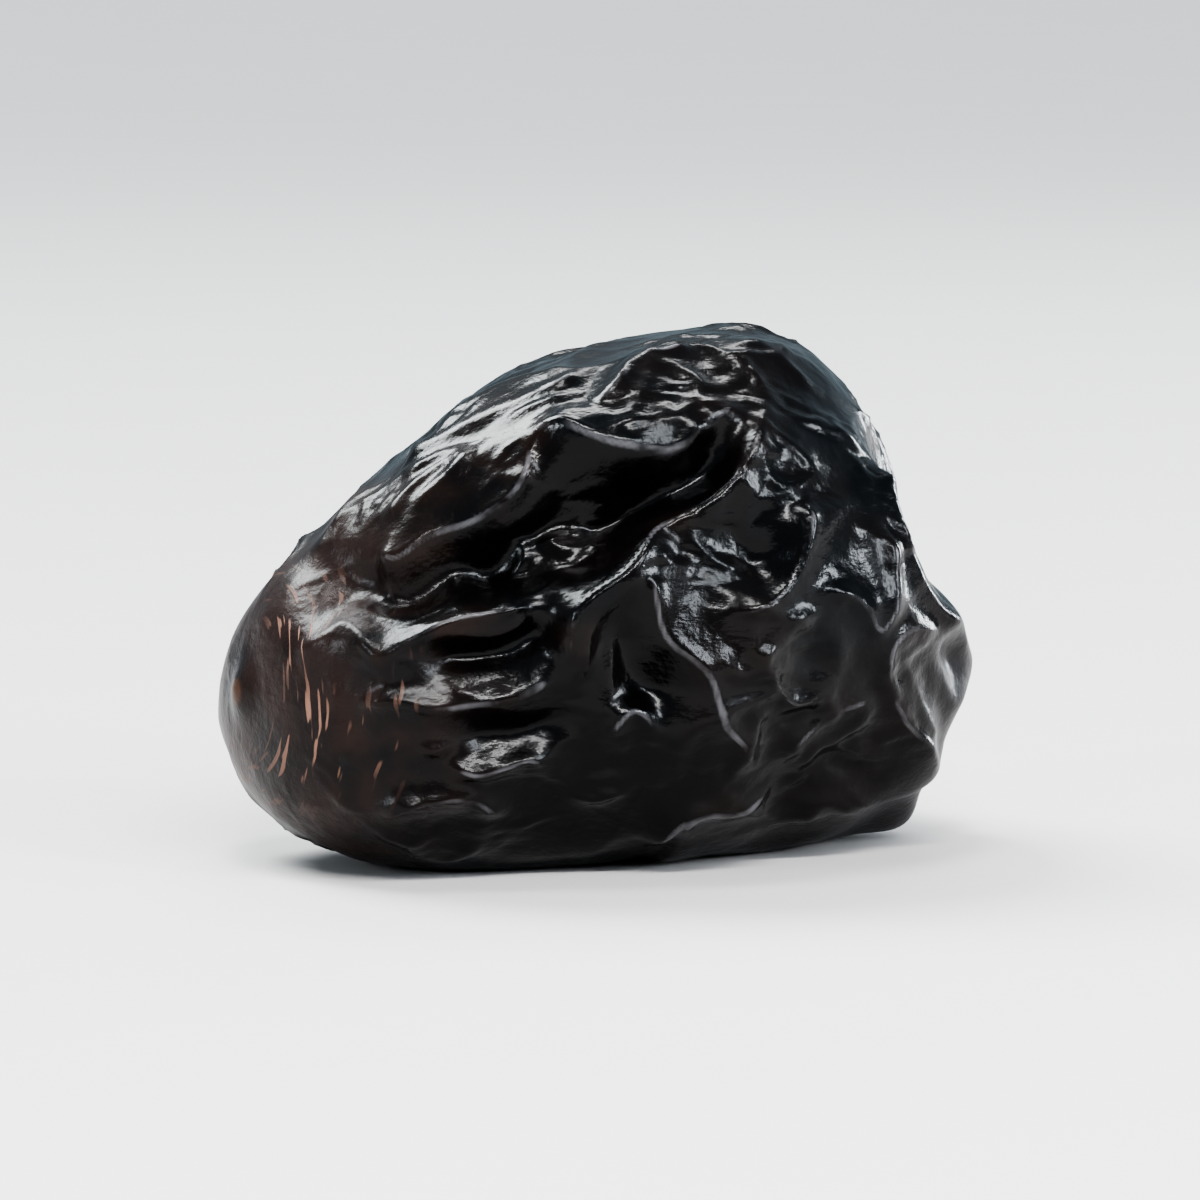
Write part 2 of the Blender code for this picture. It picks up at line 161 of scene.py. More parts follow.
# %% How the body departs from an oval along its length
AXIS_HEIGHTS = (
    (-1.0, -3.4), (-0.8, -3.2), (-0.6, -2.6), (-0.3, -1.1), (0.0, -0.5),
    (0.4, 0.0), (0.62, -0.4), (0.8, -2.6), (0.92, -4.0), (1.0, -4.2),
)
THICKNESSES = (
    (-1.0, 1.02), (-0.8, 0.91), (-0.6, 0.89), (-0.3, 0.93), (0.0, 0.98),
    (0.4, 1.03), (0.62, 1.06), (0.8, 0.96), (0.92, 0.78), (1.0, 0.7),
)
BREADTHS = (
    (-1.0, 1.02), (-0.8, 0.95), (-0.6, 0.94), (-0.3, 0.98), (0.0, 1.01),
    (0.4, 1.01), (0.62, 0.95), (0.8, 0.82), (0.92, 0.7), (1.0, 0.68),
)


print("stations along the body:", len(AXIS_HEIGHTS))

# %% A smooth curve through points
def smooth_route(route, steps=6):
    """Points of a smooth curve through the route's own points."""
    ends = [2 * Vector(route[0]) - Vector(route[1]), 2 * Vector(route[-1]) - Vector(route[-2])]
    stations = [ends[0], *[Vector(point) for point in route], ends[1]]
    line = []
    for before, start, end, after in zip(stations, stations[1:], stations[2:], stations[3:]):
        for step in range(steps):
            t = step / steps
            bend = (2 * before - 5 * start + 4 * end - after) * t * t
            twist = (3 * start - before - 3 * end + after) * t**3
            line.append((2 * start + (end - before) * t + bend + twist) / 2)
    return np.array([*line, stations[-2]])


def along_body(stations, place):
    """The value at each place along the body, smooth between the stations."""
    line = smooth_route(stations, 12)
    return np.interp(place, line[:, 0], line[:, 1])


print("axis height in the middle, in mm:", along_body(AXIS_HEIGHTS, 0.0).round(2))

# %% The smooth body
LENGTH = 30.6
WIDTH = 20.8
HEIGHT = 21.5
BLUNTNESS = 2.4


def smooth_body(directions):
    """Points of the unwrinkled body in each direction, and the outward normals there."""
    around = np.hypot(directions[:, 1], directions[:, 2])
    blunt = (np.abs(directions[:, 0]) ** BLUNTNESS + around**BLUNTNESS) ** (-1.0 / BLUNTNESS)
    shape = directions * blunt[:, None]
    half = np.array([LENGTH, WIDTH, HEIGHT]) / 2.0
    points = shape * half
    points[:, 1] *= along_body(BREADTHS, shape[:, 0])
    points[:, 2] *= along_body(THICKNESSES, shape[:, 0])
    points[:, 2] += along_body(AXIS_HEIGHTS, shape[:, 0])
    normals = unit(np.sign(shape) * np.abs(shape) ** (BLUNTNESS - 1.0) / half)
    return points, normals


body_points, body_normals = smooth_body(directions)
print("smooth body in mm:", np.ptp(body_points, axis=0).round(1))

# %% [markdown]
# ## Swells and hollows
#
# The flesh under the skin doesn't shrink evenly. A few broad swells and hollows, each a soft bump
# with a centre, a radius and a height, break the oval's evenness before any fold is laid on it.

# %% Broad swells and hollows
SWELLS = (
    ((13.0, -5.5, -3.5), 3.0, 1.1),
    ((12.8, -4.5, 2.0), 3.8, -2.0),
    ((13.6, 1.0, 1.6), 3.4, -1.2),
    ((-13.0, 3.0, 2.0), 4.0, -0.8),
    ((-9.0, -2.0, 7.0), 5.0, -0.4),
    ((-2.0, 9.5, 4.0), 6.0, -0.6),
    ((8.0, 8.5, -3.0), 5.0, 0.4),
    ((-6.0, -8.5, -3.5), 5.0, 0.4),
    ((5.0, -9.0, -4.0), 4.5, -0.5),
    ((0.0, 3.0, 10.5), 4.0, -0.4),
    ((-6.0, 6.0, -6.0), 5.0, -0.4),
)


def swells(points):
    total = np.zeros(len(points))
    for centre, radius, height in SWELLS:
        away = ((points - np.array(centre)) ** 2).sum(axis=1)
        total += height * np.exp(-away / radius**2)
    return total


print("swells and hollows:", len(SWELLS))

# %% [markdown]
# ## Folds laid out one by one
#
# The largest folds make this fruit this fruit, so their routes are drawn, as a sculptor
# would draw them on clay: each is a short list of points on a side view, in millimetres from the
# view's centre line and from the table. Each fold then says how high it is and how wide the flank is
# on either side. The crest has a narrow rounded top and hollow flanks, because dried skin is thin:
# it stands up in an edge and lies smooth between two of them.

# %% The routes of the folds on the front
FRONT_TURN = math.radians(-22.0)
FRONT_RISE = math.radians(7.0)
FRONT_FOLDS = (
    (((-9.7, 12.2), (-8.3, 11.9), (-7.0, 12.4), (-5.3, 13.1), (-3.7, 14.7), (-2.6, 15.8), (-0.3, 15.8),
      (2.0, 15.5), (3.6, 16.2), (5.2, 17.5)), 1.5, 1.6, 0.7),
    (((5.6, 17.1), (5.0, 15.0), (4.0, 14.0), (2.0, 12.7), (0.9, 11.4), (-0.4, 10.2), (-1.2, 8.6),
      (-1.6, 7.2)), 1.8, 0.7, 0.55),
    (((2.1, 12.7), (2.3, 11.6), (3.0, 11.1)), 0.7, 0.6, 0.6),
    (((-12.6, 8.3), (-11.3, 8.6), (-10.1, 9.3), (-9.1, 9.0), (-8.1, 8.1), (-7.2, 8.5), (-6.2, 9.4),
      (-4.5, 9.9), (-2.4, 9.8)), 1.3, 0.8, 0.9),
    (((-10.2, 10.0), (-8.6, 9.8), (-7.0, 9.2)), 0.7, 0.5, 0.5),
    (((7.4, 14.2), (7.6, 13.1), (7.3, 11.8), (6.5, 10.6), (5.4, 10.0), (4.2, 9.5)), 1.3, 1.0, 0.7),
    (((7.8, 10.6), (9.1, 10.2), (9.7, 9.4), (10.2, 8.5), (10.8, 9.6), (10.9, 11.4), (10.7, 13.0)),
     1.0, 0.7, 0.8),
    (((12.9, 9.5), (11.5, 8.7), (10.7, 7.7), (10.9, 6.3), (11.6, 5.0), (12.8, 3.8)), 1.0, 0.8, 1.0),
    (((11.2, 16.0), (11.7, 13.4), (12.5, 10.6), (13.4, 8.8), (14.4, 7.8)), 1.0, 0.9, 0.7),
    (((-6.6, 3.9), (-5.1, 3.3), (-3.9, 3.7), (-2.9, 4.1), (-1.8, 3.4)), 1.0, 0.7, 0.5),
    (((-1.7, 5.2), (-1.5, 4.0)), 0.8, 0.4, 0.4),
    (((-0.4, 4.2), (0.2, 5.0), (1.0, 5.7), (1.8, 5.3), (1.6, 4.4)), 1.0, 0.5, 0.5),
    (((0.8, 0.9), (2.5, 1.9), (4.2, 2.5), (5.8, 2.7), (6.6, 2.4)), 1.0, 0.7, 0.7),
    (((1.3, 11.3), (2.3, 9.0), (3.6, 7.0), (4.6, 5.2), (6.4, 3.6)), 1.1, 0.9, 0.8),
    (((1.1, 11.2), (0.6, 8.5), (-0.3, 4.6)), 0.7, 0.9, 0.9),
    (((-8.4, 15.3), (-6.8, 16.2), (-4.5, 17.0), (-2.6, 18.0), (-0.6, 19.0)), 0.9, 0.8, 0.8),
    (((-0.9, 17.0), (0.8, 18.2), (2.4, 19.4), (3.4, 20.4)), 1.0, 0.8, 0.8),
    (((-9.0, 13.0), (-7.4, 14.2), (-5.5, 15.0), (-5.9, 13.4)), 0.8, 0.6, 0.6),
    (((10.6, 6.6), (8.9, 5.9), (7.6, 4.9), (6.6, 3.4)), 0.9, 0.8, 0.8),
    (((-9.6, 6.6), (-7.9, 6.5), (-6.2, 5.6), (-4.4, 6.0), (-2.6, 7.0), (-1.6, 7.2)), 1.0, 0.8, 0.7),
    (((-9.0, 1.8), (-7.2, 2.6), (-5.2, 2.2), (-3.4, 1.2)), 0.9, 0.7, 0.7),
    (((5.4, 10.0), (5.2, 8.2), (6.2, 6.8), (7.6, 6.4), (9.2, 7.4)), 0.8, 0.7, 0.7),
    (((7.0, 1.2), (8.6, 2.2), (10.2, 1.8), (8.8, 0.6)), 0.8, 0.6, 0.6),
)
FRONT_HOLLOWS = (
    (((-10.6, 10.7), (-7.5, 11.0), (-3.6, 12.6), (0.4, 14.0), (3.6, 15.2)), -1.3, 1.5),
    (((-5.6, 7.8), (-2.5, 8.4)), -0.7, 1.1),
    (((3.2, 12.6), (5.8, 11.8)), -0.8, 1.2),
    (((-5.0, 4.8), (-2.4, 5.6)), -0.6, 1.0),
    (((1.2, 8.6), (1.8, 6.6)), -0.7, 1.2),
    (((13.0, 7.4), (13.0, 5.0)), -0.8, 1.0),
    (((-4.2, 11.2), (-2.0, 11.5), (-0.2, 12.4), (1.6, 13.7)), -0.9, 1.0),
    (((-1.5, 16.2), (0.6, 16.1), (3.0, 16.4)), 0.7, 1.1),
)
print("folds on the front:", len(FRONT_FOLDS))

# %% The routes of the folds on the back
BACK_FOLDS = (
    (((-12.0, 9.0), (-10.2, 11.4), (-7.6, 12.3), (-5.2, 11.6), (-3.4, 12.6), (-0.8, 14.6), (1.6, 14.9)),
     1.2, 1.2, 0.6),
    (((-3.4, 12.6), (-1.9, 11.4), (0.6, 11.0), (2.4, 11.9), (5.0, 11.7), (7.4, 10.2), (9.2, 9.9)),
     1.1, 0.7, 1.0),
    (((-9.6, 6.9), (-8.0, 8.2), (-5.9, 8.0), (-4.4, 6.6), (-1.8, 6.3), (0.2, 7.4), (1.5, 8.9), (0.6, 11.0)),
     1.0, 0.6, 1.0),
    (((0.2, 7.4), (2.4, 6.2), (4.6, 6.5), (6.3, 5.3), (9.0, 4.9)), 0.8, 0.8, 0.6),
    (((-8.0, 8.2), (-8.6, 9.9), (-7.6, 12.3)), 0.7, 0.7, 0.7),
    (((-9.0, 16.6), (-6.4, 16.0), (-4.2, 17.3), (-1.5, 17.6), (0.4, 16.8), (3.0, 17.0)), 0.9, 1.0, 0.6),
    (((-4.2, 17.3), (-4.9, 19.0), (-3.9, 20.3)), 0.7, 0.7, 0.7),
    (((-6.4, 3.2), (-4.0, 4.4), (-1.8, 6.3)), 0.8, 0.7, 0.9),
    (((4.6, 6.5), (5.6, 8.3), (5.0, 11.7)), 0.7, 0.8, 0.6),
    (((-12.2, 5.5), (-10.6, 5.0), (-9.6, 6.9)), 0.8, 0.7, 0.7),
    (((7.4, 10.2), (8.8, 12.0), (8.0, 13.4)), 0.6, 0.7, 0.7),
    (((-9.8, 3.6), (-8.2, 2.6), (-6.4, 3.2)), 0.7, 0.7, 0.7),
    (((-4.0, 4.4), (-2.4, 3.0), (0.0, 3.4), (2.2, 2.4), (4.6, 2.9)), 0.8, 0.8, 0.7),
    (((2.2, 2.4), (3.2, 4.2), (4.6, 6.5)), 0.6, 0.7, 0.7),
    (((6.3, 5.3), (7.2, 3.6), (9.0, 3.0)), 0.6, 0.7, 0.7),
)
BACK_HOLLOWS = (
    (((-6.4, 10.1), (-3.6, 9.6), (-1.6, 9.3)), -0.7, 1.3),
    (((-0.6, 12.9), (2.0, 13.2), (4.6, 13.4)), -0.6, 1.1),
    (((2.6, 9.2), (3.6, 8.6)), -0.5, 1.1),
    (((6.4, 7.6), (8.6, 7.4)), -0.4, 1.1),
)
print("folds on the back:", len(BACK_FOLDS))

# %% [markdown]
# ## Pleats on the front
#
# Between the folds the front skin has thin parallel pleats, small loops and rims. They are drawn in
# the same way as the folds, only lower and much narrower, because the mesh here is fine enough to
# show them.

# %% The routes of the pleats on the front
FRONT_PLEATS = (
    (((-8.3, 14.8), (-7.2, 15.2), (-6.2, 15.5), (-5.5, 15.4), (-5.2, 14.8), (-5.8, 14.2), (-6.8, 13.7),
      (-7.7, 13.2)), 0.45, 0.35, 0.35),
    (((-6.7, 16.7), (-5.6, 17.4), (-4.3, 18.0), (-3.1, 18.6), (-1.8, 19.1), (-0.9, 19.5)), 0.4, 0.35, 0.35),
    (((-9.9, 13.6), (-9.1, 14.3), (-8.4, 14.7)), 0.4, 0.3, 0.3),
    (((-4.5, 16.3), (-3.3, 16.9), (-2.0, 17.5), (-0.9, 18.0)), 0.45, 0.3, 0.3),
    (((-0.7, 17.3), (0.4, 18.0), (1.7, 18.5), (3.0, 18.6), (4.0, 18.2), (4.7, 17.7)), 0.4, 0.35, 0.35),
    (((1.5, 17.7), (1.7, 17.1), (2.2, 16.6), (2.8, 16.6)), 0.35, 0.3, 0.3),
    (((3.8, 20.1), (5.2, 20.1), (6.4, 19.7), (7.7, 19.4), (8.8, 19.3)), 0.35, 0.35, 0.35),
    (((5.8, 17.1), (7.0, 17.0), (8.3, 16.9), (9.5, 16.6), (10.5, 16.2)), 0.3, 0.35, 0.35),
    (((5.8, 15.8), (6.3, 15.2), (6.8, 14.8), (7.7, 15.0), (8.5, 15.5)), 0.3, 0.3, 0.3),
    (((8.0, 12.3), (8.5, 13.1), (9.3, 13.7), (10.5, 13.9)), 0.3, 0.3, 0.3),
    (((2.3, 4.0), (3.1, 5.4), (4.8, 6.3), (6.6, 6.6)), 0.65, 0.35, 0.5),
    (((7.2, 2.6), (7.9, 4.0), (9.1, 4.8), (9.8, 5.6), (10.2, 6.7)), 0.7, 0.5, 0.4),
    (((7.7, 4.7), (8.8, 4.5), (9.8, 4.2), (10.7, 3.6)), 0.5, 0.35, 0.35),
    (((3.9, 8.4), (4.3, 7.4), (5.2, 7.3), (6.1, 8.4), (7.2, 9.1), (8.7, 9.6)), 0.65, 0.35, 0.45),
    (((8.3, 9.4), (8.9, 8.6), (9.0, 7.4), (8.4, 6.3)), 0.5, 0.35, 0.35),
    (((5.0, 6.4), (5.6, 5.2), (5.2, 4.0), (4.3, 3.2)), 0.5, 0.35, 0.35),
    (((8.9, 3.0), (9.8, 2.6), (10.9, 2.9), (11.7, 3.8)), 0.55, 0.35, 0.35),
    (((-4.5, 13.1), (-3.5, 13.7), (-2.7, 14.3), (-1.6, 14.7)), 0.2, 0.3, 0.3),
    (((-7.6, 8.2), (-6.1, 8.8), (-4.2, 8.8), (-3.0, 9.2), (-2.4, 9.7)), 0.5, 0.35, 0.35),
    (((1.6, 11.5), (0.9, 10.6), (0.2, 9.7), (-0.4, 8.7), (-0.8, 7.7), (-1.3, 7.0), (-1.8, 7.3)),
     0.5, 0.25, 0.35),
    (((13.0, 8.8), (13.0, 7.6), (13.3, 6.4), (13.8, 6.2), (14.2, 7.2)), 0.5, 0.3, 0.3),
    (((11.9, 7.4), (11.9, 6.3), (12.4, 5.2), (13.1, 4.6)), 0.35, 0.3, 0.3),
    (((-3.6, 13.4), (-3.0, 12.7), (-2.9, 11.9), (-3.5, 11.3)), 0.45, 0.3, 0.3),
    (((-1.2, 12.0), (-2.1, 12.7), (-3.0, 12.7)), 0.35, 0.3, 0.3),
    (((2.8, 13.1), (3.4, 12.3), (4.6, 11.6), (5.8, 11.4)), 0.35, 0.35, 0.35),
    (((-6.2, 6.8), (-4.9, 6.1), (-3.7, 6.0), (-2.7, 6.3)), 0.35, 0.35, 0.35),
    (((-11.3, 7.5), (-10.7, 6.3), (-10.8, 4.8), (-11.3, 3.6)), 0.25, 0.4, 0.4),
    (((-9.3, 6.3), (-8.6, 4.8), (-8.9, 3.4)), 0.25, 0.4, 0.4),
    (((-9.2, 1.7), (-7.8, 0.9), (-5.9, 0.7), (-4.2, 1.3)), 0.5, 0.35, 0.35),
    (((-7.8, 5.0), (-6.8, 4.4), (-5.6, 4.3)), 0.4, 0.35, 0.35),
    (((-1.4, 2.4), (0.1, 2.7), (1.4, 3.5)), 0.45, 0.4, 0.35),
    (((4.9, 1.0), (6.0, 0.5), (7.3, 0.4)), 0.4, 0.35, 0.35),
)
print("pleats on the front:", len(FRONT_PLEATS))

# %% The section of a crest and the view that it is drawn on
CREST_ROUNDING = 0.2


def view_axes(turn, rise):
    """The right, up and towards-the-viewer directions of a look at the fruit."""
    level = math.cos(rise)
    towards = np.array([math.sin(turn) * level, -math.cos(turn) * level, math.sin(rise)])
    right = np.array([math.cos(turn), math.sin(turn), 0.0])
    return right, np.cross(towards, right), towards


def crest(distance, flank, rounding=CREST_ROUNDING):
    """A ridge's height at a distance from its line: a narrow rounded top and hollow flanks."""
    return np.exp(-(np.sqrt(distance**2 + rounding**2) - rounding) / flank)


print("a crest 1 mm high is", round(float(crest(1.0, 0.8)), 2), "mm high 1 mm from its line")

# %% How far each point is from a route
def route_distance(flat, line):
    """Distance of flat points from a line, their side from -1 to 1, and how far from its ends they are."""
    best = np.full(len(flat), 1e9)
    side = np.zeros(len(flat))
    along = np.zeros(len(flat))
    walked = 0.0
    for start, end in zip(line, line[1:]):
        span = end - start
        length = np.linalg.norm(span)
        share = np.clip((flat - start) @ span / length**2, 0.0, 1.0)
        offset = flat - start - share[:, None] * span
        away = np.linalg.norm(offset, axis=1)
        nearer = away < best
        best = np.where(nearer, away, best)
        turned = span[0] * offset[:, 1] - span[1] * offset[:, 0]
        side = np.where(nearer, turned / (length * away + 1e-9), side)
        along = np.where(nearer, walked + share * length, along)
        walked += length
    return best, side, np.minimum(along, walked - along)


print("route distance ready")

# %% [markdown]
# Each route is drawn on the side that it is seen from, so a point counts only where the body faces
# that side. Where two folds cross, their heights are joined softly and not added. The thin edge
# along each crest is kept apart, because the mesh, the colour and the taut skin all need it later.

# %% Raise the drawn folds from the side that they are drawn on
EDGE_WIDTH = 0.26


def highest(heights):
    """The heights of several ridges joined softly: where two cross, they don't add up to a spike."""
    return (np.abs(np.stack(heights)) ** 3).sum(axis=0) ** (1.0 / 3.0)


def drawn_folds(points, normals, folds, hollows, turn):
    """The ridges, the hollows and the thin edges drawn on one view, on the side that faces it."""
    right, up, towards = view_axes(turn, FRONT_RISE)
    bent = wander(points, 4.0, 0.18, SEED)
    flat = np.stack([bent @ right, bent @ up], axis=1)
    facing = ramp(normals @ towards, -0.05, 0.35)
    ridges = []
    edges = []
    for route, height, left_flank, right_flank in folds:
        distance, side, from_end = route_distance(flat, smooth_route(route))
        flank = (left_flank + right_flank + side * (left_flank - right_flank)) / 2.0
        strength = 0.25 + 0.75 * ramp(from_end, 0.0, 1.2)
        ridges.append(height * crest(distance, flank) * strength)
        sharpness = 0.45 + 0.55 * min(height, 1.0)
        edges.append(sharpness * np.exp(-((distance / EDGE_WIDTH) ** 2)) * strength)
    hollow = np.zeros(len(points))
    for route, depth, half_width in hollows:
        distance, _, _ = route_distance(flat, smooth_route(route))
        hollow += depth * np.exp(-((distance / half_width) ** 2))
    return highest(ridges) * facing, hollow * facing, np.max(edges, axis=0) * facing


raised = body_points + np.array([0.0, 0.0, HEIGHT / 2.0])
front, front_hollow, front_edges = drawn_folds(raised, body_normals, FRONT_FOLDS, FRONT_HOLLOWS, FRONT_TURN)
back, back_hollow, back_edges = drawn_folds(raised, body_normals, BACK_FOLDS, BACK_HOLLOWS,
                                            FRONT_TURN + math.pi)
pleats, _, pleat_edges = drawn_folds(raised, body_normals, FRONT_PLEATS, (), FRONT_TURN)
print("highest drawn fold in mm:", front.max().round(2), "in front,", back.max().round(2), "behind")

# %% [markdown]
# ## The net of smaller wrinkles
#
# Between the large folds the skin gathers into a net. Cell centres are thrown on the body and kept
# only where none is too close, which spreads them evenly. The border between two cells is where
# both centres are equally far away, and a crest is raised along each border. Each border gets a
# height of its own, so that some run on as ridges and others fade out. The cells are longer along
# the fruit than round it, because the skin shrank most round it.

# %% Spread the cell centres
def net_seeds(spacing, stretch, seed):
    """Cell centres spread evenly over the body, further apart along it than round it."""
    rng = np.random.default_rng(seed)
    tries, _ = smooth_body(unit(rng.normal(size=(6000, 3))))
    tries[:, 0] /= stretch
    kept = np.empty((0, 3))
    for point in tries:
        if not len(kept) or np.linalg.norm(kept - point, axis=1).min() > spacing:
            kept = np.vstack([kept, point])
    return kept


print("cell centres ready")

# %% A crest along each border between two cells
def net(points, spacing, flank, stretch, seed, quiet=0.3):
    """Crests and thin edges between a random net's cells: 1 on the highest, and each its own height."""
    seeds = net_seeds(spacing, stretch, seed)
    tree = kdtree.KDTree(len(seeds))
    for index, point in enumerate(seeds):
        tree.insert(point, index)
    tree.balance()
    rng = np.random.default_rng(seed + 1)
    edge_height = rng.random((len(seeds), len(seeds)))
    edge_height = ramp((edge_height + edge_height.T) / 2.0, quiet - 0.1, 0.8)
    bent = wander(points, spacing * 2.2, spacing * 0.22, seed + 2)
    bent = wander(bent, spacing * 0.9, spacing * 0.08, seed + 7)
    bent[:, 0] /= stretch
    near = [tree.find_n(point, 4) for point in bent]
    index = np.array([[found[1] for found in row] for row in near])
    squared = np.array([[found[2] for found in row] for row in near]) ** 2
    distance = (squared[:, 1] - squared[:, 0]) / (2.0 * spacing)
    weight = np.exp(-(squared - squared[:, :1]) / (0.35 * spacing**2))
    height = np.zeros(len(points))
    share = np.full(len(points), 1e-9)
    for a in range(4):
        for b in range(a + 1, 4):
            pair = weight[:, a] * weight[:, b]
            height += pair * edge_height[index[:, a], index[:, b]]
            share += pair
    height /= share
    return height * crest(distance, flank), height * np.exp(-((distance / EDGE_WIDTH) ** 2))


print("net ready")

# %% Raise a wide and a fine net of wrinkles
WIDE_SPACING = 4.8
WIDE_STRETCH = 2.1
WIDE_FLANK = 0.95
WIDE_HEIGHT = 0.95
FINE_SPACING = 2.5
FINE_STRETCH = 1.8
FINE_FLANK = 0.5
FINE_HEIGHT = 0.6

wide, wide_edges = net(body_points, WIDE_SPACING, WIDE_FLANK, WIDE_STRETCH, SEED + 100)
fine, fine_edges = net(body_points, FINE_SPACING, FINE_FLANK, FINE_STRETCH, SEED + 200)
wide *= WIDE_HEIGHT
fine *= FINE_HEIGHT
print("net of wrinkles in mm: up to", wide.max().round(2), "wide and", fine.max().round(2), "fine")

# %% [markdown]
# ## The two ends
#
# Where the fruit hung from its stalk there is a round scar, tan and fibrous, in a crumbly trench.
# Round it lies a collar of smoother, duller skin with rounded corners, where the cap of the flower
# sat. All of them are rings round the stem end, so their heights follow from how far each point is
# from its middle, and fields of waves keep the rings from being round as on a lathe.

# %% The edge of the collar
COLLAR_RADIUS = 7.4
COLLAR_CORNERS = 7


def collar_radius(angle):
    """The rounded, many-cornered edge of the smooth skin round the stem scar."""
    corners = np.abs(np.sin(0.5 * COLLAR_CORNERS * angle + 0.8 * np.sin(angle + 1.0)))
    return COLLAR_RADIUS * (0.93 + 0.12 * (1.0 - corners))


print("collar:", COLLAR_CORNERS, "corners, about", COLLAR_RADIUS, "mm from the scar's middle")

# %% The collar, the trench and the scar
COLLAR_HEIGHT = 0.55
COLLAR_DISH = 0.45
SCAR_RADIUS = 2.2
SCAR_DEPTH = 0.45
SCAR_DOME = 0.35
TRENCH_WIDTH = 0.45
TRENCH_DEPTH = 0.75
CRUMB_HEIGHT = 0.09
CRUMB_REACH = 0.6
COLLAR_PLEAT = 0.22
SCAR_ROUGHNESS = 0.07
FAR_AWAY = 99.0


def stem_end(points):
    """Heights of the collar, trench and scar, how far inside the collar and scar, and the scar's rays."""
    across = points[:, 1]
    up = points[:, 2] - AXIS_HEIGHTS[-1][1]
    radius = np.where(points[:, 0] > 0.0, np.hypot(across, up), FAR_AWAY)
    edge = collar_radius(np.arctan2(up, across))
    rim = COLLAR_HEIGHT * crest(radius - edge, 0.9)
    dish = -COLLAR_DISH * ramp(edge - radius, 0.0, 3.0)
    on_collar = ramp(radius, 2.5, 4.0) * ramp(edge - radius, -0.5, 1.5)
    pleats = COLLAR_PLEAT * waves(points, 4.0, SEED + 500) * on_collar
    scar_edge = SCAR_RADIUS * (1.0 + 0.07 * waves(points, 3.2, SEED + 510))
    trench_depth = TRENCH_DEPTH * (1.0 + 0.35 * waves(points, 2.4, SEED + 520))
    from_trench = radius - scar_edge - TRENCH_WIDTH
    trench = -trench_depth * np.exp(-((from_trench / TRENCH_WIDTH) ** 2))
    crumbs = CRUMB_HEIGHT * waves(points, 0.8, SEED + 540) * np.exp(-((from_trench / CRUMB_REACH) ** 2))
    dome = SCAR_DOME * (1.0 - np.clip(radius / scar_edge, 0.0, 1.0) ** 2)
    grain = SCAR_ROUGHNESS * waves(points, 1.6, SEED + 530)
    scar = (dome - SCAR_DEPTH + grain) * ramp(scar_edge - radius, -0.2, 0.2)
    rays = np.stack([across / (radius + 0.01), up / (radius + 0.01), radius / SCAR_RADIUS], axis=1)
    return rim + dish + pleats + trench + crumbs + scar, edge - radius, scar_edge - radius, rays


stem_height, inside_collar, inside_scar, scar_rays = stem_end(body_points)
print("points on the collar:", int((inside_collar > 0).sum()))
print("points on the scar:", int((inside_scar > 0).sum()))

# %% [markdown]
# At the other end the skin draws together in a small blunt point and stays almost smooth.

# %% The tip
TIP_POINT = 0.45
TIP_POINT_RADIUS = 0.9


def tip_end(points):
    """The height of the blunt point at the tip, and how far from the tip each point is."""
    from_tip = np.hypot(points[:, 1], points[:, 2] - AXIS_HEIGHTS[0][1])
    radius = np.where(points[:, 0] < 0.0, from_tip, FAR_AWAY)
    return TIP_POINT * np.exp(-((radius / TIP_POINT_RADIUS) ** 2)), radius


tip_height, from_tip = tip_end(body_points)
print("tip's point in mm:", tip_height.max().round(2))

# %% [markdown]
# ## The skin
#
# Now the parts are joined. Of two ridges that cross, the higher one wins softly, or they would add
# up to a spike. Ridges fade on the collar and at the tip, and under the fruit, where its own weight
# presses them out, and a few of the drawn folds run on weakly over the collar's edge. In front,
# where the folds are drawn one by one, the random net is kept low. Every point then moves along the
# smooth body's normal by the height there.

# %% Where the net and the thin edges show
QUIET_IN_FRONT = 0.75
FINE_QUIET_IN_FRONT = 0.1
QUIET_BEHIND = 0.1
BACK_EDGE_SHARE = 0.7
FINE_EDGE_SHARE = 0.8

_, _, towards_front = view_axes(FRONT_TURN, FRONT_RISE)
facing = body_normals @ towards_front
in_front = ramp(facing, 0.1, 0.6)
behind = ramp(-facing, 0.1, 0.6)
net_share = 1.0 - QUIET_IN_FRONT * in_front - QUIET_BEHIND * behind
fine_share = ramp(waves(body_points, 12.0, SEED + 300), -1.2, 0.6)
fine_share *= 1.0 - FINE_QUIET_IN_FRONT * in_front - QUIET_BEHIND * behind
fine_share *= 1.0 - ramp(-front_hollow, 0.1, 0.5)
wide *= net_share
fine *= fine_share
edges = np.max([front_edges, BACK_EDGE_SHARE * back_edges, pleat_edges, wide_edges * net_share,
                FINE_EDGE_SHARE * fine_share * fine_edges], axis=0)
print("share of the wide net in front:", net_share.min().round(2))

# %% Where the skin is wrinkled
REST_SMOOTHING = 0.8
COLLAR_SHARE = 0.4
TIP_RADIUS = 5.0
TIP_WRINKLES = 0.12

off_collar = ramp(-inside_collar, -0.8, 1.0)
wrinkled = off_collar * (TIP_WRINKLES + (1.0 - TIP_WRINKLES) * ramp(from_tip - TIP_RADIUS, -1.5, 3.5))
wrinkled *= 1.0 - REST_SMOOTHING * ramp(-body_normals[:, 2], 0.7, 0.95)
over_collar = COLLAR_SHARE * (1.0 - off_collar) * (1.0 - ramp(inside_collar, 4.2, 5.2))
print("wrinkled share of the skin:", wrinkled.mean().round(2))

# %% Join folds, net and ends into one skin
MEAN_RIDGE = 0.5
CREST_LIMIT = 1.6
SWAY = 0.3
SWAY_LENGTH = 13.0

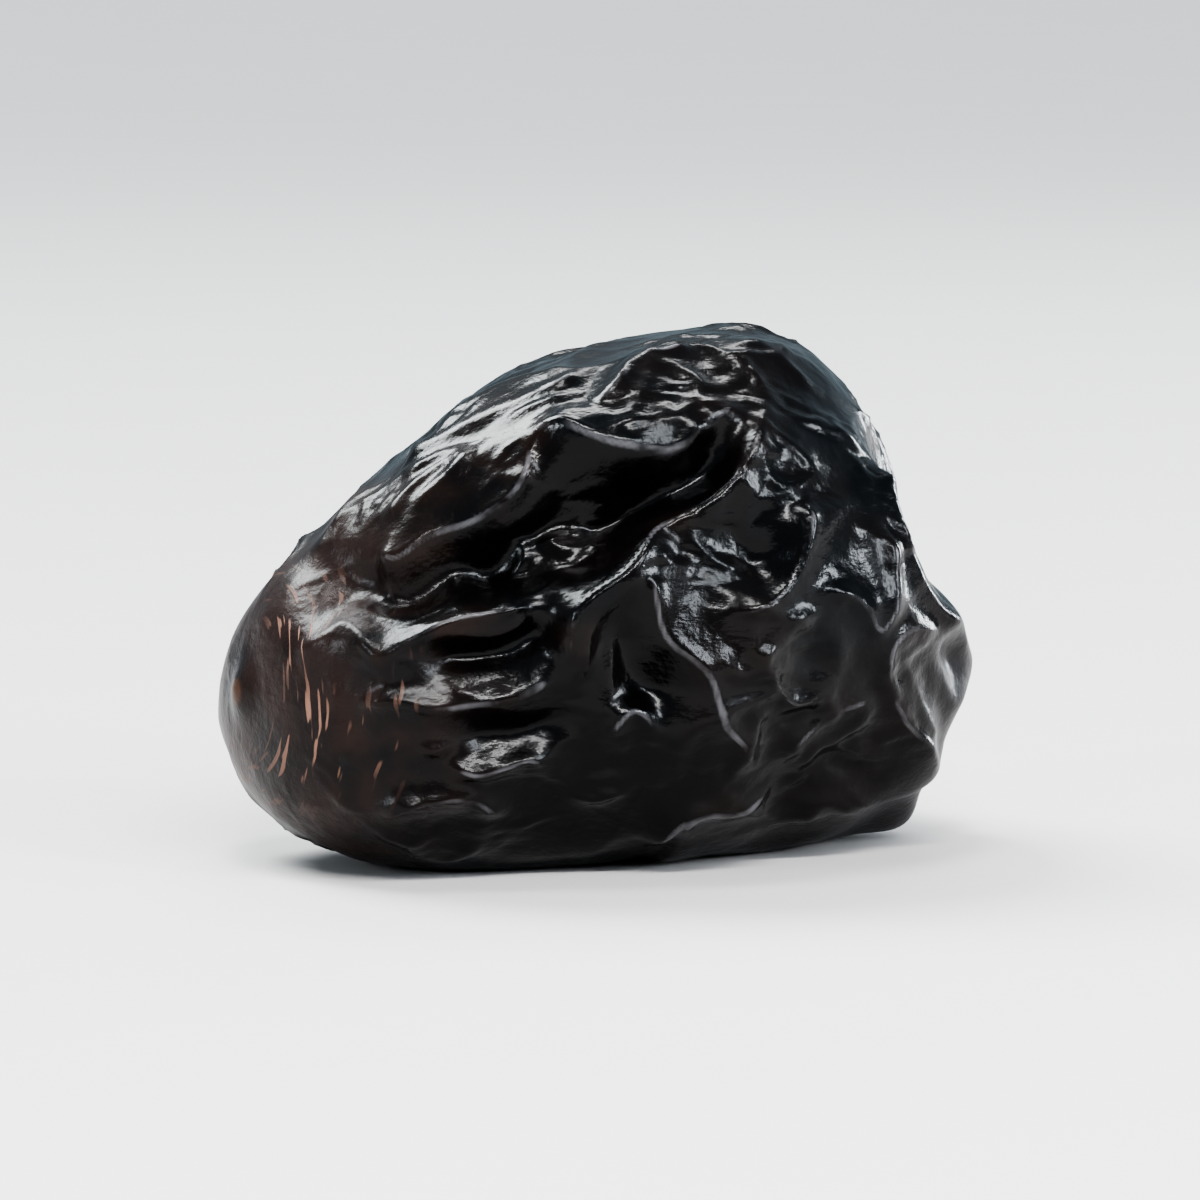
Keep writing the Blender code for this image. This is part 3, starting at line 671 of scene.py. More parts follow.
ridges = highest([front, back, wide]) + highest([fine, pleats])
ridges = CREST_LIMIT * np.tanh(ridges / CREST_LIMIT)
height = (ridges - MEAN_RIDGE) * wrinkled + over_collar * highest([front, pleats])
height += front_hollow + back_hollow + stem_height + tip_height
height += swells(body_points) + SWAY * waves(body_points, SWAY_LENGTH, SEED + 400)
skin_points = body_points + body_normals * height[:, None]
print("skin height in mm: from", height.min().round(2), "to", height.max().round(2))

# %% [markdown]
# ## Pull the skin taut
#
# Heights laid on an oval leave its own roundness showing between the folds, but dried skin is
# stretched from crest to crest, flat or a little hollow, like cloth over a frame. So each point
# between the crests moves towards the middle of its neighbours, again and again, as a soap film
# would, while the crests, the two ends and the underside hold still.

# %% Find each point's neighbours
def neighbours_of(count, faces):
    """Each point's four neighbours along the squares' edges: a corner's missing one is itself."""
    sides = np.array(faces)
    starts = sides.ravel()
    ends = np.roll(sides, -1, axis=1).ravel()
    order = np.argsort(starts, kind="stable")
    starts, ends = starts[order], ends[order]
    rank = np.arange(len(starts)) - np.searchsorted(starts, starts)
    neighbours = np.repeat(np.arange(count)[:, None], 4, axis=1)
    neighbours[starts, rank] = ends
    return neighbours


neighbours = neighbours_of(len(skin_points), faces)
print("neighbours:", neighbours.shape)

# %% Relax the skin between the crests
TAUT_STEPS = 60
TAUT_SHARE = 0.65
CREST_LOCATOR_STEPS = 30
EDGE_HEIGHT = 0.09
ROUNDING_STEPS = 1


def relax(values, held, steps):
    """Moves each value towards its neighbours' mean, except where it is held."""
    free = 1.0 - held
    for _ in range(steps):
        values = values + free * (values[neighbours].mean(axis=1) - values)
    return values


stands_out = ridges - relax(ridges, np.zeros(len(ridges)), CREST_LOCATOR_STEPS)
held = np.maximum(ramp(edges, 0.2, 0.7), 0.5 * ramp(stands_out, 0.05, 0.2))
held = np.maximum(held, ramp(-front_hollow - back_hollow, 0.3, 0.7))
held = np.maximum(held, 1.0 - wrinkled)
taut_points = relax(skin_points, held[:, None], TAUT_STEPS)
skin_points += TAUT_SHARE * (taut_points - skin_points)
skin_points += body_normals * (EDGE_HEIGHT * edges * (wrinkled + over_collar))[:, None]
skin_points = relax(skin_points, np.full((len(skin_points), 1), 0.5), ROUNDING_STEPS)
print("held share of the skin:", held.mean().round(2))

# %% [markdown]
# ## Set it down
#
# A fruit that lies on a table touches it with a small flat spot, pressed by its own weight. The
# lowest part is flattened, the skin bends up from the spot's edge, and the origin goes under the
# middle of the fruit's box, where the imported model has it. This finer mesh catches each crest's full
# height, and the fine creases come on top, so each direction is brought to a share of the packed
# size that leaves them room.

# %% Press the resting spot flat
REST_DEPTH = 0.75
REST_BEND = 0.6
REST_EDGE = 0.5
PACKED_SHARES = np.array([0.997, 0.990, 0.995])


def settle(points):
    above = points[:, 2] - points[:, 2].min() - REST_DEPTH
    bend = np.clip(above, 0.0, REST_BEND)
    lost = (1.0 - REST_EDGE) * (bend - bend**2 / (2.0 * REST_BEND))
    settled = points.copy()
    settled[:, 2] = np.maximum(above, 0.0) - lost
    middle = (settled.min(axis=0) + settled.max(axis=0)) / 2.0
    settled[:, :2] -= middle[:2]
    return settled


skin_points = settle(skin_points)
packed_size = (np.array(packed_box[1]) - np.array(packed_box[0])) / MM
skin_points *= PACKED_SHARES * packed_size / np.ptp(skin_points, axis=0)
print("points in the resting spot:", int((skin_points[:, 2] < 1e-6).sum()))
print("skin's size in mm:", np.ptp(skin_points, axis=0).round(2))

# %% [markdown]
# ## The mesh and what it remembers
#
# The mesh keeps a few values at each point as named attributes: how high the point is on a ridge or
# a thin edge, how near it is to the tip, the collar and the scar, and two sets of coordinates for
# what runs in a direction, the streaks round the tip and the rays of the scar. Both Geometry Nodes
# and the materials read them, so that colour and relief follow the same skin.

# %% Helpers for the mesh and its attributes
def make_mesh(name, points, faces):
    mesh = bpy.data.meshes.new(name)
    mesh.from_pydata((points * MM).tolist(), [], faces)
    mesh.shade_smooth()
    return mesh


def store(mesh, name, values):
    kind = "FLOAT_VECTOR" if values.ndim == 2 else "FLOAT"
    attribute = mesh.attributes.new(name, kind, "POINT")
    field = "vector" if values.ndim == 2 else "value"
    attribute.data.foreach_set(field, values.astype(np.float32).ravel())


print("mesh helpers ready")

# %% Make the mesh and store its attributes
STREAK_WANDER = 8.0
STREAK_REACH = 0.25

skin_mesh = make_mesh("date_skin", skin_points, faces)
store(skin_mesh, "ridge", ridges / CREST_LIMIT)
store(skin_mesh, "edge", edges * (wrinkled + over_collar))
store(skin_mesh, "wrinkled", wrinkled)
store(skin_mesh, "from_tip", from_tip)
store(skin_mesh, "inside_collar", inside_collar)
store(skin_mesh, "inside_scar", inside_scar)
store(skin_mesh, "scar_rays", scar_rays)
store(skin_mesh, "outward", body_normals)
arc = np.arccos(np.clip(-directions[:, 0], -1.0, 1.0)) * LENGTH / 2.0
streak = np.stack([arc, body_points[:, 1], body_points[:, 2]], axis=1)
store(skin_mesh, "streak", wander(streak, STREAK_WANDER, STREAK_REACH, SEED + 600))
skin = bpy.data.objects.new("date_skin", skin_mesh)
bpy.context.scene.collection.objects.link(skin)
print("skin mesh:", len(skin_mesh.vertices), "points and", len(skin_mesh.polygons), "squares")

# %% [markdown]
# ## Writing node trees in code
#
# One small helper makes a node, sets it up and fills its inputs, whether with a value or with a
# link. All the trees below, of Geometry Nodes and of materials, are written with it.

# %% A helper for nodes
def add(tree, kind, inputs=None, **settings):
    """A new node, with its settings made and its inputs filled by a value or by another node's output."""
    node = tree.nodes.new(kind)
    for name, value in settings.items():
        setattr(node, name, value)
    for key, value in (inputs or {}).items():
        if isinstance(value, bpy.types.NodeSocket):
            tree.links.new(value, node.inputs[key])
        else:
            node.inputs[key].default_value = value
    return node


def math_of(tree, operation, *values, clamp=False):
    node = add(tree, "ShaderNodeMath", dict(enumerate(values)), operation=operation, use_clamp=clamp)
    return node.outputs[0]


print("node helper ready")

# %% [markdown]
# A Geometry Nodes tree gets its sizes through named inputs, so that they can be changed on the
# modifier without opening the tree. The modifier itself is only a tool here: its result is read back
# as a plain mesh, and it is removed.

# %% Helpers for a tree with named inputs
def new_modifier_tree(name, values):
    """A Geometry Nodes tree with a geometry input, named number inputs and a geometry output."""
    tree = bpy.data.node_groups.new(name, "GeometryNodeTree")
    tree.interface.new_socket("Geometry", in_out="INPUT", socket_type="NodeSocketGeometry")
    for label, (kind, default) in values.items():
        socket = tree.interface.new_socket(label, in_out="INPUT", socket_type=kind)
        if default is not None:
            socket.default_value = default
    tree.interface.new_socket("Geometry", in_out="OUTPUT", socket_type="NodeSocketGeometry")
    return tree


def bake_modifier(piece, tree, values, name):
    """Runs the tree on the piece and keeps the result as a plain mesh."""
    modifier = piece.modifiers.new(tree.name, "NODES")
    modifier.node_group = tree
    sockets = {item.name: item.identifier for item in tree.interface.items_tree if item.in_out == "INPUT"}
    for label, value in values.items():
        modifier[sockets[label]] = value
    depsgraph = bpy.context.evaluated_depsgraph_get()
    evaluated = piece.evaluated_get(depsgraph)
    mesh = bpy.data.meshes.new_from_object(evaluated, preserve_all_data_layers=True, depsgraph=depsgraph)
    mesh.name = name
    piece.modifiers.remove(modifier)
    return mesh


print("modifier helpers ready")

# %% [markdown]
# ## Fine creases with Geometry Nodes
#
# Between the ridges the skin has creases of a millimetre and less. They follow a rule and cover the
# whole surface, so Geometry Nodes make them. A Voronoi texture gives the distance to the nearest
# border between cells, noise bends the borders, and Map Range turns the distance into a thin crest.
# A second noise lets the creases come and go. Each point moves along the smooth body's normal.
# Points that touch the table stay where they are.

# %% The height of the fine creases
CREASE_BEND = 1.6
CREASE_BEND_SCALE = 0.6
PATCH_SCALE = 0.35


def crease_height(tree, place, spacing, width, seed):
    """A height of 0 to 1: thin crests along the borders of a Voronoi pattern, faded in patches."""
    bend = add(tree, "ShaderNodeTexNoise", {"Vector": place, "Scale": CREASE_BEND_SCALE, "Detail": 2.0})
    shift = add(tree, "ShaderNodeVectorMath", {0: bend.outputs["Color"], 1: (0.5, 0.5, 0.5)},
                operation="SUBTRACT")
    moved = add(tree, "ShaderNodeVectorMath", {0: shift.outputs[0], 1: (CREASE_BEND,) * 3, 2: place},
                operation="MULTIPLY_ADD")
    scale = math_of(tree, "DIVIDE", 1.0, spacing)
    cells = add(tree, "ShaderNodeTexVoronoi", {"Vector": moved.outputs[0], "W": seed, "Scale": scale},
                voronoi_dimensions="4D", feature="DISTANCE_TO_EDGE")
    thin = add(tree, "ShaderNodeMapRange", {"Value": cells.outputs["Distance"], "From Max": width,
                                            "To Min": 1.0, "To Max": 0.0}, interpolation_type="SMOOTHERSTEP")
    patches = add(tree, "ShaderNodeTexNoise", {"Vector": place, "W": seed, "Scale": PATCH_SCALE,
                                               "Detail": 1.0}, noise_dimensions="4D")
    shown = add(tree, "ShaderNodeMapRange", {"Value": patches.outputs[0], "From Min": 0.42, "From Max": 0.6})
    return math_of(tree, "MULTIPLY", thin.outputs[0], shown.outputs[0])


print("crease height ready")

# %% The tree of the fine creases
CREASE_STRETCH = 1.6
CREASE_WIDTHS = {"Wide": 0.22, "Narrow": 0.25}
TABLE_GAP = 0.0002


def crease_tree():
    tree = new_modifier_tree("fine_creases", {
        "Wide spacing": ("NodeSocketFloat", 1.4),
        "Wide height": ("NodeSocketFloat", 0.1),
        "Narrow spacing": ("NodeSocketFloat", 0.7),
        "Narrow height": ("NodeSocketFloat", 0.04),
        "Seed": ("NodeSocketFloat", 3.0),
        "Material": ("NodeSocketMaterial", None),
    })
    group = add(tree, "NodeGroupInput")
    place = add(tree, "GeometryNodeInputPosition")
    per_mm = 1.0 / MM
    factors = (per_mm / CREASE_STRETCH, per_mm, per_mm)
    in_mm = add(tree, "ShaderNodeVectorMath", {0: place.outputs[0], 1: factors}, operation="MULTIPLY")
    total = None
    for size, width in CREASE_WIDTHS.items():
        height = crease_height(tree, in_mm.outputs[0], group.outputs[size + " spacing"], width,
                               group.outputs["Seed"])
        height = math_of(tree, "MULTIPLY", height, group.outputs[size + " height"])
        total = height if total is None else math_of(tree, "ADD", total, height)
    wrinkled = add(tree, "GeometryNodeInputNamedAttribute", {"Name": "wrinkled"}, data_type="FLOAT")
    total = math_of(tree, "MULTIPLY", total, wrinkled.outputs[0])
    total = math_of(tree, "MULTIPLY", total, MM)
    outward = add(tree, "GeometryNodeInputNamedAttribute", {"Name": "outward"}, data_type="FLOAT_VECTOR")
    offset = add(tree, "ShaderNodeVectorMath", {0: outward.outputs[0], "Scale": total}, operation="SCALE")
    height_above = add(tree, "ShaderNodeSeparateXYZ", {0: place.outputs[0]})
    off_table = add(tree, "FunctionNodeCompare", {0: height_above.outputs["Z"], 1: TABLE_GAP},
                    operation="GREATER_THAN")
    moved = add(tree, "GeometryNodeSetPosition", {
        "Geometry": group.outputs["Geometry"],
        "Selection": off_table.outputs[0],
        "Offset": offset.outputs[0],
    })
    real = add(tree, "GeometryNodeRealizeInstances", {0: moved.outputs[0]})
    finished = add(tree, "GeometryNodeSetMaterial", {"Geometry": real.outputs[0],
                                                     "Material": group.outputs["Material"]})
    add(tree, "NodeGroupOutput", {"Geometry": finished.outputs[0]})
    return tree


print("crease tree ready")

# %% [markdown]
# ## The skin's colours
#
# Up close the skin is never one colour. It is almost black where it is thick, dark red-brown where
# it thins out on a ridge, brown at the tip and dull on the collar, and the scar is tan and woody.
# One flat colour would look like plastic, and a picture would go soft up close, so noise mixes the
# colours and the values stored on the mesh say where each one belongs. The colours are linear red,
# green, blue and alpha, and from here on sizes and places are in metres, as the mesh is.

# %% Colours of the skin's finish
DEEP_SKIN = (0.0016, 0.0017, 0.0022, 1.0)
BROWN_SKIN = (0.0042, 0.0026, 0.0025, 1.0)
AMBER_RIDGE = (0.020, 0.0095, 0.0062, 1.0)
TIP_SKIN = (0.019, 0.0095, 0.0075, 1.0)
TAN_STREAK = (0.21, 0.112, 0.08, 1.0)
TIP_POINT_SKIN = (0.05, 0.024, 0.014, 1.0)
COLLAR_SKIN = (0.010, 0.0085, 0.0092, 1.0)
# painted highlight: a pale grey laid on the sharpest crests for the shine that they catch
CREST_HIGHLIGHT_PAINT = (0.19, 0.185, 0.195, 1.0)
TRENCH_BROWN = (0.012, 0.006, 0.004, 1.0)
SCAR_BROWN = (0.09, 0.038, 0.018, 1.0)
SCAR_TAN = (0.27, 0.14, 0.07, 1.0)
print("skin colours set")

# %% Helpers for materials
def number(tree, name):
    return add(tree, "ShaderNodeAttribute", attribute_name=name).outputs["Fac"]


def between(tree, value, low, high):
    """0 where the value is below low, 1 above high, and a smooth rise between them."""
    node = add(tree, "ShaderNodeMapRange", {"Value": value, "From Min": low, "From Max": high},
               interpolation_type="SMOOTHSTEP")
    return node.outputs[0]


def both(tree, one, other):
    """The product of two shares: 1 only where both are."""
    return math_of(tree, "MULTIPLY", one, other)


def mix(tree, share, below, above):
    node = add(tree, "ShaderNodeMix", data_type="RGBA")
    for index, value in ((0, share), (6, below), (7, above)):
        if isinstance(value, bpy.types.NodeSocket):
            tree.links.new(value, node.inputs[index])
        else:
            node.inputs[index].default_value = value
    return node.outputs[2]


def noise(tree, place, size, detail=3.0, roughness=0.55):
    """Noise whose largest features are about that size."""
    return add(tree, "ShaderNodeTexNoise", {"Vector": place, "Scale": 1.0 / size, "Detail": detail,
                                            "Roughness": roughness}).outputs[0]


def scaled(tree, vector, factors):
    return add(tree, "ShaderNodeVectorMath", {0: vector, 1: factors}, operation="MULTIPLY").outputs[0]


print("material helpers ready")

# %% [markdown]
# ### Thick skin and thin skin
#
# Clouds of noise drift between the two darkest colours. On a ridge the skin is thin, and light that
# has passed through it comes back amber. That shows most towards the tip, where the skin is thinnest.

# %% The colour of the skin between its two ends
CLOUD_SIZE = 0.006
AMBER_SIZE = 0.003
AMBER_FROM = -0.002
AMBER_FULL = -0.009


def body_colour(tree, place, along):
    clouds = between(tree, noise(tree, place, CLOUD_SIZE), 0.4, 0.68)
    colour = mix(tree, clouds, DEEP_SKIN, BROWN_SKIN)
    on_ridge = between(tree, number(tree, "ridge"), 0.35, 0.9)
    thin = both(tree, on_ridge, between(tree, noise(tree, place, AMBER_SIZE), 0.4, 0.7))
    towards_tip = add(tree, "ShaderNodeMapRange", {
        "Value": along, "From Min": AMBER_FROM, "From Max": AMBER_FULL, "To Min": 0.2, "To Max": 1.0,
    }).outputs[0]
    return mix(tree, both(tree, thin, towards_tip), colour, AMBER_RIDGE)


print("body colour ready")

# %% [markdown]
# ### The brown tip and its streaks
#
# The tip's skin is brown and hardly wrinkled. Where its outermost layer has split there are short
# tan streaks round the fruit. They are the peaks of a noise that is stretched along the stored streak
# coordinates, and a second, larger noise gathers them in groups. They stop short of the tip's point
# and of the underside.

# %% The colour of the tip
TIP_FROM = -0.0075
TIP_FULL = -0.0115
TIP_CLOUD_SIZE = 0.004
STREAK_STRETCH = (2.6, 0.6, 0.6)
STREAK_GROUP_SIZE = 0.005
STREAKS_FROM = -0.0098
STREAKS_FULL = -0.0122
STREAKS_LOW = (0.002, 0.0055)
STREAKS_HIGH = (0.0095, 0.0125)


def streak_share(tree, place, along, up, from_tip):
    """1 on the tan streaks and 0 beside them."""
    streak = add(tree, "ShaderNodeAttribute", attribute_name="streak").outputs["Vector"]
    dashes = noise(tree, scaled(tree, streak, STREAK_STRETCH), 1.0, 1.0, 0.4)
    groups = between(tree, noise(tree, place, STREAK_GROUP_SIZE, 1.0), 0.40, 0.56)
    share = both(tree, between(tree, dashes, 0.60, 0.66), groups)
    share = both(tree, share, between(tree, along, STREAKS_FROM, STREAKS_FULL))
    share = both(tree, share, between(tree, from_tip, 2.0, 4.5))
    level = math_of(tree, "SUBTRACT", between(tree, up, *STREAKS_LOW), between(tree, up, *STREAKS_HIGH))
    return both(tree, share, level)


def tip_colour(tree, colour, place, at_tip, streaks, from_tip):
    clouds = between(tree, noise(tree, place, TIP_CLOUD_SIZE), 0.3, 0.6)
    colour = mix(tree, both(tree, at_tip, clouds), colour, TIP_SKIN)
    colour = mix(tree, streaks, colour, TAN_STREAK)
    on_point = math_of(tree, "SUBTRACT", 1.0, between(tree, from_tip, 0.35, 0.65))
    return mix(tree, on_point, colour, TIP_POINT_SKIN)


print("tip colour ready")

# %% [markdown]
# ### Painted highlights on the crests
#
# Along the sharpest edges a pale grey is painted into the colour. It is a painted highlight that stands for
# the shine a glossy crest catches from the lamps. The stored edge value says where the edges are, and a
# noise lets the painted line come and go, as an even line would look like a drawn stroke.

# %% The painted highlight along the sharpest edges
EDGE_PATCH_SIZE = 0.002
EDGE_SHARE = 0.4


# painted highlight: mixes pale grey into the colour along the crests in place of real reflections
def painted_crest_highlight(tree, colour, place):
    on_edge = between(tree, number(tree, "edge"), 0.78, 1.0)
    shown = both(tree, on_edge, between(tree, noise(tree, place, EDGE_PATCH_SIZE), 0.40, 0.64))
    return mix(tree, math_of(tree, "MULTIPLY", shown, EDGE_SHARE), colour, CREST_HIGHLIGHT_PAINT)


print("edge colour ready")

# %% [markdown]
# ### The collar and the woody scar
#
# The collar is a duller, greyer skin, and the trench inside it is almost black. The scar is what is
# left of the stalk, so it is wood: its fibres run out from the middle. They are a noise on the
# stored ray coordinates, which hold the direction from the scar's middle and the way out from it.

# %% The colour of the stem end
FIBRE_STRETCH = (5.0, 5.0, 0.9)
SCAR_PATCH_SIZE = 0.0016
SPECK_SIZE = 0.0005


def scar_fibres(tree):
    rays = add(tree, "ShaderNodeAttribute", attribute_name="scar_rays").outputs["Vector"]
    return noise(tree, scaled(tree, rays, FIBRE_STRETCH), 1.0, 4.0)


def scar_colour(tree, place, fibres):
    half_fibres = math_of(tree, "MULTIPLY", fibres, 0.5)
    patches = math_of(tree, "MULTIPLY_ADD", noise(tree, place, SCAR_PATCH_SIZE, 4.0), 0.5, half_fibres)
    wood = mix(tree, between(tree, patches, 0.38, 0.6), SCAR_BROWN, SCAR_TAN)
    specks = between(tree, noise(tree, place, SPECK_SIZE, 2.0), 0.64, 0.72)
    return mix(tree, specks, wood, TRENCH_BROWN)


print("scar colour ready")

# %% [markdown]
# ### Gloss
#
# The skin's shine is softer than varnish and differs from patch to patch, because sugar and dust
# dull it. Roughness says how blurred a reflection is. It follows a noise, and the tip, the collar,
# the streaks and above all the trench are duller than the rest.

# %% The roughness of the skin
GLOSS_PATCH_SIZE = 0.004
GLOSSIEST = 0.12
GLOSS_RANGE = 0.20
DULLER_TIP = 0.12
DULLER_COLLAR = 0.12
DULLER_TRENCH = 0.35
DULLER_STREAKS = 0.25


def skin_roughness(tree, place, at_tip, on_collar, in_trench, streaks):
    rough = math_of(tree, "MULTIPLY_ADD", noise(tree, place, GLOSS_PATCH_SIZE, 5.0), GLOSS_RANGE, GLOSSIEST)
    rough = math_of(tree, "MULTIPLY_ADD", at_tip, DULLER_TIP, rough)
    rough = math_of(tree, "MULTIPLY_ADD", on_collar, DULLER_COLLAR, rough)
    rough = math_of(tree, "MULTIPLY_ADD", in_trench, DULLER_TRENCH, rough)
    return math_of(tree, "MULTIPLY_ADD", streaks, DULLER_STREAKS, rough, clamp=True)


print("roughness ready")

# %% [markdown]
# ### Relief that is too fine for the mesh
#
# A leathery grain, small soft dents, hair-fine lines round the tip and the scar's fibres are all
# finer than the mesh's squares or nearly so. A bump only tilts the surface's normal, which is enough
# for them: what one sees of such small relief is how it breaks up a reflection.

# %% The bump of the skin
GRAIN_SIZE = 0.00045
DENT_SIZE = 0.0013
LINE_STRETCH = (1.1, 3.2, 3.2)
LINE_SHARE = 0.8
DENT_SHARE = 3.2
STREAK_SHARE = 0.5
FIBRE_SHARE = 3.0
BUMP_STRENGTH = 0.35
BUMP_DEPTH = 0.00006


def skin_relief(tree, place, streaks, fibres_on_scar):
    """The normal of the skin with its finest relief."""
    streak = add(tree, "ShaderNodeAttribute", attribute_name="streak").outputs["Vector"]
    lines = noise(tree, scaled(tree, streak, LINE_STRETCH), 0.9, 3.0, 0.6)
    relief = math_of(tree, "MULTIPLY_ADD", lines, LINE_SHARE, noise(tree, place, GRAIN_SIZE, 4.0, 0.6))
    relief = math_of(tree, "MULTIPLY_ADD", noise(tree, place, DENT_SIZE, 3.0), DENT_SHARE, relief)
    relief = math_of(tree, "MULTIPLY_ADD", streaks, STREAK_SHARE, relief)
    relief = math_of(tree, "MULTIPLY_ADD", fibres_on_scar, FIBRE_SHARE, relief)
    bump = add(tree, "ShaderNodeBump", {"Height": relief, "Strength": BUMP_STRENGTH, "Distance": BUMP_DEPTH})
    return bump.outputs[0]


print("relief ready")

# %% [markdown]
# ### Put the finish together
#
# One Principled shader takes the colour, the roughness and the relief. Dried skin is neither metal
# nor glass, so only its index of refraction is set, lower than the usual 1.45: that leaves the dark
# colour deep and keeps the shine for where the skin is seen at a slant or mirrors a lamp.

# %% Build the skin material
SKIN_REFRACTION = 1.30


def skin_material():
    material = bpy.data.materials.new("date_skin_finish")
    material.use_nodes = True
    tree = material.node_tree
    shader = tree.nodes["Principled BSDF"]
    place = add(tree, "ShaderNodeTexCoord").outputs["Object"]
    place_parts = add(tree, "ShaderNodeSeparateXYZ", {0: place})
    along = place_parts.outputs["X"]
    up = place_parts.outputs["Z"]
    from_tip = number(tree, "from_tip")
    inside_collar = number(tree, "inside_collar")
    inside_scar = number(tree, "inside_scar")

    at_tip = between(tree, along, TIP_FROM, TIP_FULL)
    streaks = streak_share(tree, place, along, up, from_tip)
    on_collar = between(tree, inside_collar, -0.3, 0.8)
    in_trench = between(tree, inside_scar, -1.3, -0.5)
    on_scar = between(tree, inside_scar, -0.15, 0.25)
    fibres = scar_fibres(tree)

    colour = body_colour(tree, place, along)
    colour = tip_colour(tree, colour, place, at_tip, streaks, from_tip)
    # painted highlight along the sharpest crests
    colour = painted_crest_highlight(tree, colour, place)
    colour = mix(tree, on_collar, colour, COLLAR_SKIN)
    colour = mix(tree, in_trench, colour, TRENCH_BROWN)
    colour = mix(tree, on_scar, colour, scar_colour(tree, place, fibres))
    rough = skin_roughness(tree, place, at_tip, on_collar, in_trench, streaks)
    normal = skin_relief(tree, place, streaks, both(tree, fibres, on_scar))
    tree.links.new(colour, shader.inputs["Base Color"])
    tree.links.new(rough, shader.inputs["Roughness"])
    tree.links.new(normal, shader.inputs["Normal"])
    shader.inputs["IOR"].default_value = SKIN_REFRACTION
    return material


skin_finish = skin_material()
print("skin finish:", len(skin_finish.node_tree.nodes), "nodes")

# %% [markdown]
# ## Run the creases
#
# Now the tree has the material that it sets, so it can run. The modifier's result is read back as a
# plain mesh and the modifier goes, so that the skin is one finished piece.

# %% Run the fine creases on the skin
CREASES = {
    "Wide spacing": 1.8,
    "Wide height": 0.11,
    "Narrow spacing": 0.9,
    "Narrow height": 0.03,
    "Seed": 3.0,
    "Material": skin_finish,
}

creased = bake_modifier(skin, crease_tree(), CREASES, "date_skin_creased")
skin.data = creased
creased.shade_smooth()
print("creased skin:", len(creased.polygons), "squares, material", creased.materials[0].name)

# %% [markdown]
# ## The floor
#
# The floor is a plain pale disc, so wide that its edge lies beyond what any camera near the fruit
# sees. It has no wall, because light that leaves the floor should leave the scene: that keeps a
# black, glossy fruit dark, and it renders faster.

# %% The floor
FLOOR_RADIUS = 3.0
FLOOR_SIDES = 96
FLOOR_GREY = (0.49, 0.467, 0.46, 1.0)
FLOOR_PALE_GREY = (0.51, 0.487, 0.475, 1.0)
FLOOR_CLOUD_SIZE = 0.02
FLOOR_ROUGHNESS = 0.7


def wide_floor():
    bm = bmesh.new()
    bmesh.ops.create_circle(bm, cap_ends=True, radius=FLOOR_RADIUS, segments=FLOOR_SIDES)
    mesh = bpy.data.meshes.new("studio_floor")
    bm.to_mesh(mesh)
    bm.free()
    floor = bpy.data.objects.new("studio_floor", mesh)
    bpy.context.scene.collection.objects.link(floor)
    return floor


def floor_material():
    material = bpy.data.materials.new("pale_floor")
    material.use_nodes = True
    tree = material.node_tree
    shader = tree.nodes["Principled BSDF"]
    place = add(tree, "ShaderNodeTexCoord").outputs["Object"]
    colour = mix(tree, noise(tree, place, FLOOR_CLOUD_SIZE), FLOOR_GREY, FLOOR_PALE_GREY)
    tree.links.new(colour, shader.inputs["Base Color"])
    shader.inputs["Roughness"].default_value = FLOOR_ROUGHNESS
    return material


floor = wide_floor()
floor.data.materials.append(floor_material())
print("floor:", len(floor.data.polygons), "faces")

# %% [markdown]
# ## Light
#
# A dark glossy thing is seen by what it mirrors, so the lamps are placed for their reflections. The
# main one is a sun with a wide disc, like a large window behind the left shoulder, which lights the
# facets at the top left in broad patches. A long thin softbox above the camera draws a bright line
# along each crest that faces it. Weaker ones above and behind pick out the top and the right edge,
# and tall ones at both sides the upright folds. The lamps don't show themselves to the camera. The
# sky is pale blue and weak, which keeps the skin's darks cool, and a look with high contrast keeps
# them deep.

# %% The softboxes
MIDDLE = Vector((0.0, 0.0, 0.010))


def direction(azimuth, elevation):
    """From the fruit towards a place seen at that azimuth, which is 0 in front, and elevation."""
    turn = math.radians(azimuth)
    rise = math.radians(elevation)
    return Vector((math.sin(turn) * math.cos(rise), -math.cos(turn) * math.cos(rise), math.sin(rise)))


def softbox(name, azimuth, elevation, distance, width, depth, power, colour=(1.0, 1.0, 1.0)):
    light = bpy.data.lights.new(name, "AREA")
    light.shape = "RECTANGLE"
    light.size = width
    light.size_y = depth
    light.energy = power
    light.color = colour
    lamp = bpy.data.objects.new(name, light)
    lamp.location = MIDDLE + direction(azimuth, elevation) * distance
    lamp.rotation_mode = "QUATERNION"
    lamp.rotation_quaternion = direction(azimuth, elevation).to_track_quat("Z", "Y")
    lamp.visible_camera = False
    bpy.context.scene.collection.objects.link(lamp)
    return lamp


CAMERA_AZIMUTH = -22.0
lamps = [
    softbox("edge_softbox", CAMERA_AZIMUTH + 136.0, 9.0, 0.40, 0.03, 0.12, 0.5, (0.92, 0.96, 1.0)),
    softbox("top_softbox", CAMERA_AZIMUTH + 176.0, 50.0, 0.45, 0.24, 0.06, 0.6),
    softbox("above_softbox", CAMERA_AZIMUTH - 30.0, 80.0, 0.40, 0.08, 0.08, 0.7),
    softbox("front_softbox", CAMERA_AZIMUTH + 12.0, 46.0, 0.40, 0.28, 0.022, 1.9),
    softbox("side_softbox", CAMERA_AZIMUTH + 52.0, 30.0, 0.40, 0.05, 0.20, 1.0, (0.88, 0.94, 1.0)),
    softbox("low_softbox", CAMERA_AZIMUTH - 62.0, 17.0, 0.40, 0.05, 0.10, 0.5, (0.88, 0.94, 1.0)),
    softbox("right_softbox", CAMERA_AZIMUTH + 80.0, 13.0, 0.40, 0.06, 0.12, 0.9, (0.88, 0.94, 1.0)),
]
print("softboxes:", [lamp.name for lamp in lamps])

